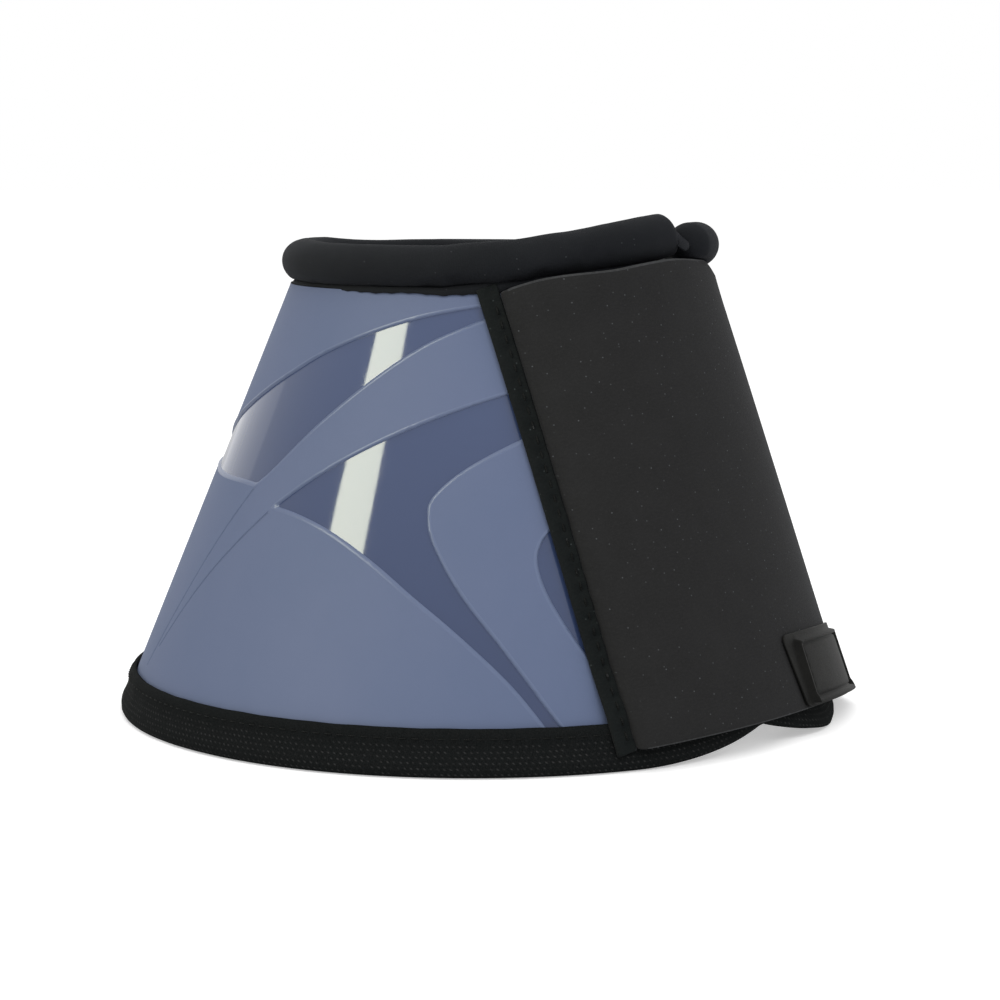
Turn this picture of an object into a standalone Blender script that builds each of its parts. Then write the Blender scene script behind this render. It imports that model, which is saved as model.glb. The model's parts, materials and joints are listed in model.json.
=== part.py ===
"""Overreach boot for a horse, also called a bell boot.

A moulded outer shell over a thick lining wraps round the pastern and the hoof as a leaning cone.
Tape binds the rim, a padded roll makes the collar, and a wide cloth flap, sewn along its left
edge, closes over the gap between the two ends with hook and loop.
Metres, +Z up the boot, the closure faces -Y, and the rim stands on z = 0.
"""

import math

import bpy
import numpy as np
from mathutils import Vector
from mathutils.geometry import delaunay_2d_cdt

# Cone of the shell's outer face, carried down to the floor
RIM_RADIUS = 0.0898
TOP_RADIUS = 0.0505
CONE_HEIGHT = 0.1069
TOP_LEAN = 0.0051
BOX_CENTRING = 0.0017

# Wall layers
CLEARANCE = 0.0003
SHELL_THICKNESS = 0.0016
LINING_THICKNESS = 0.0035
WALL_BOTTOM = 0.0016

# Moulded fields and ridges of the shell
FIELD_DEPTH = 0.0004
FIELD_STEP_WIDTH = 0.0009
RIDGE_HEIGHT = 0.00035
RIDGE_HALF_WIDTH = 0.0006
SHELL_SPACING = 0.0130
CURVE_SPACING = 0.0048
GRID_MARGIN = 0.0015
LEAST_FACET = 0.0006

# Tape round the rim
TAPE_THICKNESS = 0.0010
TAPE_OUTER_HEIGHT = 0.0108
TAPE_INNER_HEIGHT = 0.0098
TAPE_FOLD_HEIGHT = 0.0034
TAPE_FOLD_INSET = 0.0012

# Gap between the two ends, and how rim and collar rise towards it
GAP_AZIMUTH_RIM = math.radians(-12.5)
GAP_AZIMUTH_TOP = math.radians(-1.5)
END_GAP = 0.0006
END_TAPE_THICKNESS = 0.0008
END_TAPE_WIDTH = 0.0075
RIM_LIFT = 0.0052
LIFT_START_FLAP_SIDE = math.radians(-38.0)
LIFT_START_LOOP_SIDE = math.radians(8.0)
LIFT_POWER_FLAP_SIDE = 1.6
LIFT_POWER_LOOP_SIDE = 1.2

# Padded collar
COLLAR_INSET = 0.0033
ROLL_RADIUS = 0.0053
ROLL_SKIN = 0.0009
COLLAR_SINK = 0.0008
COLLAR_RISE_FLAP_SIDE = 0.0078
COLLAR_RISE_LOOP_SIDE = 0.0050
COLLAR_RISE_START = math.radians(75.0)
COLLAR_RISE_POWER = 1.35
COLLAR_END_THICKNESS = 0.0012
COLLAR_END_DOME = 0.0028
COLLAR_GAP = 0.0012

# Closure flap, measured on the flat pattern
FLAP_HALF_BOTTOM = 0.0592
FLAP_HALF_TOP = 0.0528
FLAP_BOTTOM = 0.0097
FLAP_TOP_DIP = 0.0028
FLAP_LAP = 0.0020
FLAP_CORNER = 0.0035
FLAP_THICKNESS = 0.0014
FLAP_LINING_THICKNESS = 0.0010
FLAP_LINING_MARGIN = 0.0012
FLAP_PUFF_WIDTH = 0.0140
FLAP_TOP_BULGE = 0.0012
FLAP_BULGE_HEIGHT = 0.0140
HINGE_LIFT = 0.0022
STRIP_WIDTH = 0.0040
STRIP_THICKNESS = 0.0009
STRIP_STEP_HEIGHT = 0.0070
SHELL_TUCK = 0.0065

# Hook and loop
HOOK_THICKNESS = 0.0010
HOOK_MARGIN = 0.0080
HOOK_INNER_EDGE = 0.0060
HOOK_CORNER = 0.0040
PANEL_SPACING = 0.0105

# Rubber badge at the foot of the flap, measured on the flat pattern
BADGE_LEFT = -0.0075
BADGE_WIDTH = 0.0500
BADGE_HEIGHT = 0.0168
BADGE_LEAN = 0.0030
BADGE_FOOT = 0.0006
BADGE_CORNER = 0.0022
BADGE_THICKNESS = 0.0012
BADGE_BORDER_WIDTH = 0.0020
BADGE_BORDER_STEP = 0.0005
BADGE_BORDER_HEIGHT = 0.0007
BADGE_SPACING = 0.0065

# Facets
COLUMN_STEP = math.radians(5.0)
RING_STATIONS = 72
RIM_BACK_STATIONS = 60
RIM_LOOP_SIDE_STATIONS = 6
RIM_FLAP_SIDE_STATIONS = 8
EDGE_PLACES = 5
END_TAPE_STATIONS = 9
ROLL_SIDES = 12
CORE_SIDES = 8
CORNER_STEPS = 4
DOME_RINGS = 3
FITTING_ROUNDS = 12
INSET_KEPT_SHARE = 0.97
SLOPE_KEPT_SHARE = 0.96
SHARP_ANGLE = math.radians(35.0)
RISE_STEP = math.radians(0.5)

# Layout shares of the moulded curves: share of the half turn from the closure to the heel, and
# share of the cone's height. They are written for one side and mirrored for the other, on a shell
# whose edge lies at the edge share at its rim, and further round where it tapers.
EDGE_SHARE = 0.189
EDGE_TAPER_SHARE = 0.365
UPPER_FIELD_TOP_SHARES = (
    (0.325, 0.976), (0.370, 0.970), (0.470, 0.939), (0.599, 0.863),
    (0.671, 0.802), (0.759, 0.728), (0.860, 0.650), (0.925, 0.585),
)
UPPER_FIELD_END_SHARES = ((0.925, 0.585), (0.776, 0.571), (0.652, 0.566))
UPPER_FIELD_FOOT_SHARES = (
    (0.652, 0.566), (0.625, 0.610), (0.570, 0.715), (0.460, 0.866), (0.387, 0.924), (0.325, 0.957),
)
MAIN_FIELD_TOP_SHARES = ((0.285, 0.800), (0.332, 0.785), (0.443, 0.714), (0.543, 0.617), (0.608, 0.526))
MAIN_FIELD_LEFT_SHARES = (
    (0.608, 0.526), (0.564, 0.512), (0.516, 0.482), (0.464, 0.427), (0.418, 0.360),
    (0.373, 0.287), (0.324, 0.188), (0.293, 0.100), (0.279, 0.050),
)
MAIN_FIELD_RIGHT_SHARES = (
    (0.262, 0.050), (0.278, 0.101), (0.328, 0.257), (0.372, 0.374), (0.403, 0.475),
    (0.411, 0.527), (0.408, 0.567), (0.375, 0.625), (0.311, 0.687), (0.280, 0.705),
)
SMALL_FIELD_SHARES = (
    (0.240, 0.545), (0.266, 0.527), (0.290, 0.487), (0.298, 0.434), (0.285, 0.352),
    (0.252, 0.237), (0.222, 0.165),
)
OUTER_RIDGE_SHARES = ((0.652, 0.560), (0.690, 0.442), (0.728, 0.287), (0.757, 0.150), (0.762, 0.125))
INNER_RIDGE_SHARES = ((0.612, 0.516), (0.650, 0.440), (0.692, 0.341), (0.734, 0.212), (0.744, 0.175))

# Worked out from the sizes above
CLOSURE = 0.0
HEEL = math.pi
SLOPE = (RIM_RADIUS - TOP_RADIUS) / CONE_HEIGHT
BETA = math.atan(SLOPE)
APEX_REACH = RIM_RADIUS / math.sin(BETA)
LINING_FACE = -SHELL_THICKNESS - CLEARANCE
LINING_BACK = LINING_FACE - LINING_THICKNESS
COLLAR_RADIUS = TOP_RADIUS - COLLAR_INSET
COLLAR_SEAT = CONE_HEIGHT - COLLAR_SINK
WALL_TOP = COLLAR_SEAT - CLEARANCE
ROW_START = TAPE_OUTER_HEIGHT + STRIP_STEP_HEIGHT / 4
FLAP_TOP = (COLLAR_SEAT + COLLAR_RISE_LOOP_SIDE) / math.cos(BETA) + FLAP_TOP_DIP + FLAP_LAP
FLAP_BASE = 2 * CLEARANCE + TAPE_THICKNESS
HALF_END = END_GAP / 2 + END_TAPE_THICKNESS + CLEARANCE


def cone_points(azimuth, height, level):
    """World points at an azimuth from the closure, a height and a level outside the shell's face."""
    radius = RIM_RADIUS - SLOPE * height + level / math.cos(BETA)
    centre = BOX_CENTRING - TOP_LEAN * height / CONE_HEIGHT
    return np.stack([radius * np.sin(azimuth), centre - radius * np.cos(azimuth), height + 0 * radius], -1)


def flat_points(azimuth, height, middle):
    """Places on the flat pattern, whose upright middle line is the generator at the azimuth middle."""
    reach = APEX_REACH - np.asarray(height) / math.cos(BETA)
    angle = (np.asarray(azimuth) - middle) * math.sin(BETA)
    return np.stack([reach * np.sin(angle), APEX_REACH - reach * np.cos(angle)], -1)


def cone_places(flat, middle):
    """Azimuth and height of places on the flat pattern."""
    rest = APEX_REACH - flat[..., 1]
    reach = np.hypot(flat[..., 0], rest)
    azimuth = middle + np.arctan2(flat[..., 0], rest) / math.sin(BETA)
    return azimuth, (APEX_REACH - reach) * math.cos(BETA)


def ramp(value, start, end):
    return np.clip((value - start) / (end - start), 0, 1)


def rim_lift(azimuth):
    """How far the rim rises off the floor towards the gap between the ends."""
    turn = (np.asarray(azimuth, float) + math.pi) % (2 * math.pi) - math.pi
    flap_side = (turn - LIFT_START_FLAP_SIDE) / (GAP_AZIMUTH_RIM - LIFT_START_FLAP_SIDE)
    loop_side = (turn - LIFT_START_LOOP_SIDE) / (GAP_AZIMUTH_RIM - LIFT_START_LOOP_SIDE)
    share = np.where(turn < GAP_AZIMUTH_RIM, flap_side, loop_side)
    power = np.where(turn < GAP_AZIMUTH_RIM, LIFT_POWER_FLAP_SIDE, LIFT_POWER_LOOP_SIDE)
    return RIM_LIFT * np.clip(share, 0, 1) ** power


def collar_rise(azimuth):
    """How far the collar's roll rises towards its two ends."""
    turn = (np.asarray(azimuth, float) + math.pi) % (2 * math.pi) - math.pi
    rise = np.where(turn < GAP_AZIMUTH_TOP, COLLAR_RISE_FLAP_SIDE, COLLAR_RISE_LOOP_SIDE)
    share = np.clip(1 - np.abs(turn - GAP_AZIMUTH_TOP) / COLLAR_RISE_START, 0, 1)
    return rise * (1 - (1 - share) ** COLLAR_RISE_POWER)


def gap_azimuth(height):
    return GAP_AZIMUTH_RIM + (GAP_AZIMUTH_TOP - GAP_AZIMUTH_RIM) * height / CONE_HEIGHT


def end_azimuth(height, side, setback):
    """Azimuth of one end's edge: side is -1 at the flap and +1 at the loop panel."""
    return gap_azimuth(height) + side * setback / (RIM_RADIUS - SLOPE * height)


def smooth_curve(points, spacing):
    """Points along a smooth curve through the given ones."""
    points = np.asarray(points, float)
    before = 2 * points[0] - points[1]
    after = 2 * points[-1] - points[-2]
    knots = np.vstack([before, points, after])
    curve = [points[0]]
    for a, b, c, d in zip(knots, knots[1:], knots[2:], knots[3:]):
        steps = max(1, math.ceil(np.linalg.norm(c - b) / spacing))
        for t in np.arange(1, steps + 1) / steps:
            curve.append(
                b
                + (c - a) * t / 2
                + (2 * a - 5 * b + 4 * c - d) * t**2 / 2
                + (3 * b - a - 3 * c + d) * t**3 / 2
            )
    return np.array(curve)


def divided(points, spacing, closed=True):
    """The same line with no stretch longer than the spacing."""
    points = np.asarray(points, float)
    nexts = np.roll(points, -1, axis=0) if closed else points[1:]
    line = []
    for start, end in zip(points, nexts):
        steps = max(1, math.ceil(np.linalg.norm(end - start) / spacing))
        line.extend(start + (end - start) * np.arange(steps)[:, None] / steps)
    if not closed:
        line.append(points[-1])
    return np.array(line)


def grid_values(first, last, origin, step):
    """The grid's values, counted from its origin, that lie between two values."""
    low, high = min(first, last), max(first, last)
    return origin + step * np.arange(math.ceil((low - origin) / step), (high - origin) / step)


def cut_at_grid(outline, middle, spacing):
    """The same outline with a point at each column and row of facets that it crosses."""
    azimuth, height = cone_places(outline, middle)
    line = []
    for i, start in enumerate(outline):
        k = (i + 1) % len(outline)
        shares = []
        for place, origin, step in ((azimuth, 0.0, COLUMN_STEP), (height, ROW_START, spacing)):
            for value in grid_values(place[i], place[k], origin, step):
                shares.append((value - place[i]) / (place[k] - place[i]))
        line.append(start)
        length = np.linalg.norm(outline[k] - start)
        for share in sorted(shares):
            place = start + (outline[k] - start) * share
            if np.linalg.norm(place - line[-1]) > LEAST_FACET and (1 - share) * length > LEAST_FACET:
                line.append(place)
    return np.array(line)


def rounded(corners, radius):
    """A closed outline whose corners are rounded."""
    corners = [np.asarray(corner, float) for corner in corners]
    outline = []
    for before, corner, after in zip(corners[-1:] + corners[:-1], corners, corners[1:] + corners[:1]):
        back = (before - corner) / np.linalg.norm(before - corner)
        ahead = (after - corner) / np.linalg.norm(after - corner)
        opening = math.acos(np.clip(back @ ahead, -1, 1))
        run = radius / math.tan(opening / 2)
        for t in np.arange(CORNER_STEPS + 1) / CORNER_STEPS:
            outline.append(corner + run * ((1 - t) ** 2 * back + t**2 * ahead))
    return np.array(outline)


def inside(points, loop):
    """Which points lie inside a closed loop."""
    x, y = points[:, 0, None], points[:, 1, None]
    x0, y0 = loop[:, 0], loop[:, 1]
    x1, y1 = np.roll(x0, -1), np.roll(y0, -1)
    crosses = (y0 > y) != (y1 > y)
    rise = np.where(y1 == y0, 1, y1 - y0)
    return (crosses & (x < (x1 - x0) * (y - y0) / rise + x0)).sum(axis=1) % 2 == 1


def distance(points, line, closed=True):
    """Distance of each point from a line of stretches."""
    start = line if closed else line[:-1]
    along = (np.roll(line, -1, axis=0) if closed else line[1:]) - start
    offset = points[:, None] - start
    share = (offset * along).sum(-1) / np.maximum((along * along).sum(-1), 1e-18)
    return np.linalg.norm(offset - np.clip(share, 0, 1)[..., None] * along, axis=-1).min(axis=1)


def anticlockwise(loop):
    x, y = loop[:, 0], loop[:, 1]
    area = (x * np.roll(y, -1) - np.roll(x, -1) * y).sum()
    return loop if area > 0 else loop[::-1]


def inset(loop, width):
    """A closed loop drawn in by a width, without the places where it would fold over itself."""
    loop = anticlockwise(loop)
    along = np.roll(loop, -1, axis=0) - np.roll(loop, 1, axis=0)
    normal = np.stack([-along[:, 1], along[:, 0]], -1) / np.linalg.norm(along, axis=1)[:, None]
    drawn = loop + width * normal
    return drawn[inside(drawn, loop) & (distance(drawn, loop) > INSET_KEPT_SHARE * width)]


def make_object(name, points, faces, material, pivot=None):
    """A named mesh object. With a pivot, an empty on the joint's axis, it is carried by that."""
    at = pivot.location if pivot else Vector()
    mesh = bpy.data.meshes.new(name)
    mesh.from_pydata([tuple(Vector(point) - at) for point in points], [], faces)
    mesh.validate()
    mesh.materials.append(material)
    mesh.shade_smooth()
    mesh.set_sharp_from_angle(angle=SHARP_ANGLE)
    obj = bpy.data.objects.new(name, mesh)
    bpy.context.scene.collection.objects.link(obj)
    obj.parent = pivot
    return obj


def panel(name, outline, levels, material, middle=CLOSURE, spacing=PANEL_SPACING, lines=(), pivot=None):
    """A sheet cut on the flat pattern and wrapped round the cone.

    levels gives the inner and outer level at places on the pattern. lines are loops and open
    lines, as (points, closed), that the sheet's facets follow.
    """
    outline = anticlockwise(cut_at_grid(outline, middle, spacing))
    points = [*outline]
    edges = [(i, (i + 1) % len(outline)) for i in range(len(outline))]
    for line, closed in lines:
        first = len(points)
        points.extend(line)
        edges.extend((first + i, first + i + 1) for i in range(len(line) - 1))
        if closed:
            edges.append((len(points) - 1, first))
    azimuth, height = cone_places(outline, middle)
    columns, rows = np.meshgrid(
        grid_values(azimuth.min(), azimuth.max(), 0.0, COLUMN_STEP),
        grid_values(height.min(), height.max(), ROW_START, spacing),
    )
    grid = flat_points(columns.ravel(), rows.ravel(), middle)
    grid = grid[inside(grid, outline) & (distance(grid, outline) > GRID_MARGIN)]
    for line, closed in lines:
        grid = grid[distance(grid, line, closed) > GRID_MARGIN]
    points.extend(grid)
    flat, _, faces, *_ = delaunay_2d_cdt([Vector(p) for p in points], edges, [], 1, 1e-7)
    flat = np.array([tuple(p) for p in flat])
    corners = flat[np.array([tuple(face) for face in faces])]
    spans = corners[:, 1:] - corners[:, :1]
    turns = spans[:, 0, 0] * spans[:, 1, 1] - spans[:, 0, 1] * spans[:, 1, 0]
    faces = [tuple(f) if turn > 0 else tuple(f)[::-1] for f, turn in zip(faces, turns)]
    azimuth, height = cone_places(flat, middle)
    inner, outer = levels(flat)
    count = len(flat)
    shape = np.vstack([cone_points(azimuth, height, outer), cone_points(azimuth, height, inner)])
    directed = {(f[i], f[(i + 1) % 3]) for f in faces for i in range(3)}
    walls = [(b, a, a + count, b + count) for a, b in sorted(directed) if (b, a) not in directed]
    backs = [tuple(i + count for i in f[::-1]) for f in faces]
    return make_object(name, shape, faces + backs + walls, material, pivot)


def even_levels(inner, outer):
    return lambda flat: (np.full(len(flat), inner), np.full(len(flat), outer))


def swept(name, stations, material):
    """A closed profile carried through stations, each a ring of world points running from outward to up."""
    count, sides = len(stations), len(stations[0])
    faces = []
    for i in range(count - 1):
        for j in range(sides):
            k = (j + 1) % sides
            faces.append((i * sides + j, (i + 1) * sides + j, (i + 1) * sides + k, i * sides + k))
    faces.append(tuple(range(sides)))
    faces.append(tuple((count - 1) * sides + j for j in range(sides))[::-1])
    return make_object(name, np.concatenate(stations), faces, material)


def surface_finish(name, colour, roughness, metallic=0.0):
    material = bpy.data.materials.new(name)
    material.use_nodes = True
    shader = material.node_tree.nodes["Principled BSDF"]
    shader.inputs["Base Color"].default_value = (*colour, 1)
    shader.inputs["Roughness"].default_value = roughness
    shader.inputs["Metallic"].default_value = metallic
    return material


def half_width(y):
    """Half the flap's width at a place up the flat pattern."""
    share = (np.asarray(y) - FLAP_BOTTOM) / (FLAP_TOP - FLAP_BOTTOM)
    return FLAP_HALF_BOTTOM + (FLAP_HALF_TOP - FLAP_HALF_BOTTOM) * share


def shell_edge(y):
    """Where the shell ends under the flap, out from the closure line."""
    return half_width(y) - SHELL_TUCK


def shell_edge_azimuth(height):
    """The shell's edge as an azimuth, from a few rounds of going to the flat pattern and back."""
    azimuth = shell_edge(height) / RIM_RADIUS
    for _ in range(FITTING_ROUNDS):
        flat = flat_points(azimuth, height, CLOSURE)
        azimuth = azimuth * shell_edge(flat[1]) / flat[0]
    return azimuth


def side_line(side, setback, low, high):
    """Flat-pattern line of one end of the wall, from its rim up to the collar."""
    heights = np.linspace(low, high, EDGE_PLACES)
    return [(end_azimuth(height, side, setback), height) for height in heights]


def columns_between(first, last):
    """Azimuths of the facet columns that lie clear of two azimuths."""
    columns = grid_values(first, last, 0.0, COLUMN_STEP)
    return columns[(columns > first + COLUMN_STEP / 4) & (columns < last - COLUMN_STEP / 4)]


def wall_outline(middle, from_azimuth, to_azimuth, bottom):
    """Outline of a stretch of wall between two edges given as lists of azimuth and height."""
    foot = [(a, bottom + rim_lift(a)) for a in columns_between(from_azimuth[0][0], to_azimuth[0][0])]
    head = [(a, WALL_TOP + collar_rise(a)) for a in columns_between(from_azimuth[-1][0], to_azimuth[-1][0])]
    loop = [*foot, *to_azimuth, *head[::-1], *from_azimuth[::-1]]
    return np.array([flat_points(azimuth, height, middle) for azimuth, height in loop])


def end_edge(side, setback):
    """One end of the wall as azimuth and height, from its foot to its head."""
    low = WALL_BOTTOM + float(rim_lift(end_azimuth(RIM_LIFT, side, setback)))
    azimuth = end_azimuth(WALL_TOP, side, setback)
    return side_line(side, setback, low, WALL_TOP + float(collar_rise(azimuth)))


def shell_side_edge(side, setback=0.0):
    """The shell's edge under the flap as azimuth and height, moved towards the gap by a setback."""
    edge = []
    low = WALL_BOTTOM + float(rim_lift(side * shell_edge_azimuth(WALL_BOTTOM)))
    high = WALL_TOP + float(collar_rise(side * shell_edge_azimuth(WALL_TOP)))
    for height in np.linspace(low, high, EDGE_PLACES):
        azimuth = shell_edge_azimuth(height) - setback / (RIM_RADIUS - SLOPE * height)
        edge.append((side * azimuth, height))
    return edge


def round_heel(edge):
    """The same edge with its azimuths counted on past the heel."""
    return [(azimuth + 2 * math.pi, height) for azimuth, height in edge]


def moulded_curve(shares, side, spacing=CURVE_SPACING):
    """A moulded curve of the shell, from its layout shares, on the pattern with the heel in the middle."""
    places = []
    for turn, up in shares:
        height = up * CONE_HEIGHT
        edge = EDGE_SHARE / (1 - EDGE_TAPER_SHARE * up)
        to_heel = (1 - turn) / (1 - edge) * (math.pi - shell_edge_azimuth(height))
        places.append(flat_points(HEEL - side * to_heel, height, HEEL))
    return smooth_curve(places, spacing)


def moulded_fields(side):
    """The sunken glossy fields of one side of the shell, as closed loops."""
    upper = np.vstack([
        moulded_curve(UPPER_FIELD_TOP_SHARES, side)[:-1],
        moulded_curve(UPPER_FIELD_END_SHARES, side)[:-1],
        moulded_curve(UPPER_FIELD_FOOT_SHARES, side),
    ])
    main = np.vstack([
        moulded_curve(MAIN_FIELD_TOP_SHARES, side)[:-1],
        moulded_curve(MAIN_FIELD_LEFT_SHARES, side),
        moulded_curve(MAIN_FIELD_RIGHT_SHARES, side),
    ])
    small = moulded_curve(SMALL_FIELD_SHARES, side)
    return [divided(loop, SHELL_SPACING) for loop in (upper, main, small)]


def outer_shell(material):
    """The moulded shell: sunken fields with sloping borders, and two raised ridges a side."""
    fields = [field for side in (-1, 1) for field in moulded_fields(side)]
    ridges = [
        moulded_curve(shares, side)
        for side in (-1, 1)
        for shares in (OUTER_RIDGE_SHARES, INNER_RIDGE_SHARES)
    ]
    lines = [(field, True) for field in fields]
    lines += [(inset(field, FIELD_STEP_WIDTH), True) for field in fields]
    for ridge in ridges:
        along = np.gradient(ridge, axis=0)
        normal = np.stack([-along[:, 1], along[:, 0]], -1) / np.linalg.norm(along, axis=1)[:, None]
        foot = np.vstack([
            ridge + RIDGE_HALF_WIDTH * normal,
            (ridge - RIDGE_HALF_WIDTH * normal)[::-1],
        ])
        lines += [(ridge[1:-1], False), (foot, True)]

    def levels(flat):
        outer = np.zeros(len(flat))
        for field in fields:
            depth = np.clip(distance(flat, field) / (SLOPE_KEPT_SHARE * FIELD_STEP_WIDTH), 0, 1)
            outer -= FIELD_DEPTH * np.where(inside(flat, field), depth, 0)
        for ridge in ridges:
            spread = distance(flat, ridge[1:-1], False) / (SLOPE_KEPT_SHARE * RIDGE_HALF_WIDTH)
            outer += RIDGE_HEIGHT * np.clip(1 - spread, 0, 1)
        return np.full(len(flat), -SHELL_THICKNESS), outer

    loop_side = shell_side_edge(1)
    flap_side = round_heel(shell_side_edge(-1))
    outline = wall_outline(HEEL, loop_side, flap_side, WALL_BOTTOM)
    panel("outer_shell", outline, levels, material, HEEL, SHELL_SPACING, lines)


def lining(material):
    """The thick lining behind the whole wall, from one end round the heel to the other."""
    outline = wall_outline(HEEL, end_edge(1, HALF_END), round_heel(end_edge(-1, HALF_END)), WALL_BOTTOM)
    panel("lining", outline, even_levels(LINING_BACK, LINING_FACE), material, HEEL)


def closure_facings(facing, loop):
    """The outer faces of the two ends, from the shell's edges to the gap."""
    left = wall_outline(CLOSURE, shell_side_edge(-1, CLEARANCE), end_edge(-1, HALF_END), WALL_BOTTOM)
    right = wall_outline(CLOSURE, end_edge(1, HALF_END), shell_side_edge(1, CLEARANCE), WALL_BOTTOM)
    panel("facing_panel", left, even_levels(-SHELL_THICKNESS, 0.0), facing)
    panel("loop_panel", right, even_levels(-SHELL_THICKNESS, 0.0), loop)


def rim_binding(material):
    """Tape folded over the rim: an outer leg, a flat foot to stand on and an inner leg."""
    outside = CLEARANCE
    within = LINING_BACK - CLEARANCE
    fold = WALL_BOTTOM - CLEARANCE
    profile = (
        (outside + TAPE_THICKNESS, TAPE_OUTER_HEIGHT),
        (outside, TAPE_OUTER_HEIGHT),
        (outside, fold),
        (within, fold),
        (within, TAPE_INNER_HEIGHT),
        (within - TAPE_THICKNESS, TAPE_INNER_HEIGHT),
        (within - TAPE_THICKNESS, TAPE_FOLD_HEIGHT),
        (within + TAPE_FOLD_INSET - TAPE_THICKNESS, 0.0),
        (outside - TAPE_FOLD_INSET + TAPE_THICKNESS, 0.0),
        (outside + TAPE_THICKNESS, TAPE_FOLD_HEIGHT),
    )
    level = np.array([place[0] for place in profile])
    height = np.array([place[1] for place in profile])
    first = end_azimuth(RIM_LIFT, 1, END_GAP / 2)
    last = end_azimuth(RIM_LIFT, -1, END_GAP / 2) + 2 * math.pi
    near = np.linspace(first, LIFT_START_LOOP_SIDE, RIM_LOOP_SIDE_STATIONS)[:-1]
    far_start = LIFT_START_FLAP_SIDE + 2 * math.pi
    round_back = np.linspace(LIFT_START_LOOP_SIDE, far_start, RIM_BACK_STATIONS)
    far = np.linspace(far_start, last, RIM_FLAP_SIDE_STATIONS)[1:]
    stations = [
        cone_points(np.full(len(level), azimuth), height + rim_lift(azimuth), level)
        for azimuth in (*near, *round_back, *far)
    ]
    swept("rim_binding", stations, material)


def end_bindings(material):
    """Thin tape folded over the upright edge of each end, between the rim tape and the collar."""
    for name, side in (("end_binding_flap_side", -1), ("end_binding_loop_side", 1)):
        low = TAPE_OUTER_HEIGHT + RIM_LIFT + CLEARANCE
        azimuth = end_azimuth(WALL_TOP, side, HALF_END)
        high = WALL_TOP + float(collar_rise(azimuth))
        stations = []
        for height in np.linspace(low, high, END_TAPE_STATIONS):
            radius = RIM_RADIUS - SLOPE * height
            near, half, far = HALF_END - CLEARANCE, END_TAPE_WIDTH / 2, END_TAPE_WIDTH
            outside, within = CLEARANCE, LINING_BACK - CLEARANCE
            spans = (
                (outside, far), (outside, half), (outside, near),
                (within, near), (within, half), (within, far),
                (within - END_TAPE_THICKNESS, far), (within - END_TAPE_THICKNESS, half),
                (within - END_TAPE_THICKNESS, near - END_TAPE_THICKNESS),
                (outside + END_TAPE_THICKNESS, near - END_TAPE_THICKNESS),
                (outside + END_TAPE_THICKNESS, half), (outside + END_TAPE_THICKNESS, far),
            )
            ring = [
                cone_points(gap_azimuth(height) + side * span / radius, height, level)
                for level, span in spans
            ]
            stations.append(np.array(ring if side < 0 else ring[::-1]))
        swept(name, stations, material)


def roll_ring(azimuth, radius, sides):
    """One ring of the collar's roll, round its centre line at an azimuth."""
    rise = float(collar_rise(azimuth + RISE_STEP) - collar_rise(azimuth - RISE_STEP))
    tilt = math.atan2(rise, 2 * RISE_STEP * COLLAR_RADIUS)
    seat = COLLAR_SEAT + ROLL_RADIUS
    outward = np.array([math.sin(azimuth), -math.cos(azimuth), 0])
    ahead = np.array([math.cos(azimuth), math.sin(azimuth), 0])
    up = np.array([0, 0, math.cos(tilt)]) - math.sin(tilt) * ahead
    lean = np.array([0, BOX_CENTRING - TOP_LEAN * seat / CONE_HEIGHT, seat + float(collar_rise(azimuth))])
    centre = COLLAR_RADIUS * outward + lean
    turns = np.arange(sides) * 2 * math.pi / sides
    return centre + radius * (np.cos(turns)[:, None] * outward + np.sin(turns)[:, None] * up)


def collar_azimuths(setback):
    """Azimuths along the roll from the loop side round the heel to the flap side."""
    half = (COLLAR_GAP / 2 + setback) / COLLAR_RADIUS
    return np.linspace(GAP_AZIMUTH_TOP + half, GAP_AZIMUTH_TOP + 2 * math.pi - half, RING_STATIONS)


def collar(cover, foam):
    """The padded roll: a sewn cover with a foam core, closed at both ends."""
    azimuths = collar_azimuths(COLLAR_END_THICKNESS + CLEARANCE)
    outer = [roll_ring(azimuth, ROLL_RADIUS, ROLL_SIDES) for azimuth in azimuths]
    inner = [roll_ring(azimuth, ROLL_RADIUS - ROLL_SKIN, ROLL_SIDES) for azimuth in azimuths]
    count = len(azimuths)
    total = count * ROLL_SIDES
    faces = []
    for i in range(count - 1):
        for j in range(ROLL_SIDES):
            k = (j + 1) % ROLL_SIDES
            a, b = i * ROLL_SIDES + j, i * ROLL_SIDES + k
            c, d = b + ROLL_SIDES, a + ROLL_SIDES
            faces.append((a, d, c, b))
            faces.append((b + total, c + total, d + total, a + total))
    for j in range(ROLL_SIDES):
        k = (j + 1) % ROLL_SIDES
        last = (count - 1) * ROLL_SIDES
        faces.append((j, k, k + total, j + total))
        faces.append((last + k, last + j, last + j + total, last + k + total))
    make_object("collar_cover", np.concatenate(outer + inner), faces, cover)

    core = ROLL_RADIUS - ROLL_SKIN - CLEARANCE
    swept("collar_core", [roll_ring(azimuth, core, CORE_SIDES) for azimuth in azimuths], foam)
    collar_end("collar_end_loop_side", 1, COLLAR_END_DOME, cover)
    collar_end("collar_end_flap_side", -1, 0.0, cover)


def collar_end(name, side, dome, material):
    """The cap over one end of the roll: flat on the flap side and rounded on the loop side."""
    half = COLLAR_GAP / 2
    thickness = COLLAR_END_THICKNESS
    stations = []
    for ring in range(DOME_RINGS + 1):
        share = ring / DOME_RINGS
        shrink = 1 - share * dome / ROLL_RADIUS
        azimuth = GAP_AZIMUTH_TOP + side * (half + thickness * (1 - share)) / COLLAR_RADIUS
        stations.append(roll_ring(azimuth, ROLL_RADIUS * shrink, ROLL_SIDES))
    if side > 0:
        stations = stations[::-1]
    swept(name, stations, material)


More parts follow.
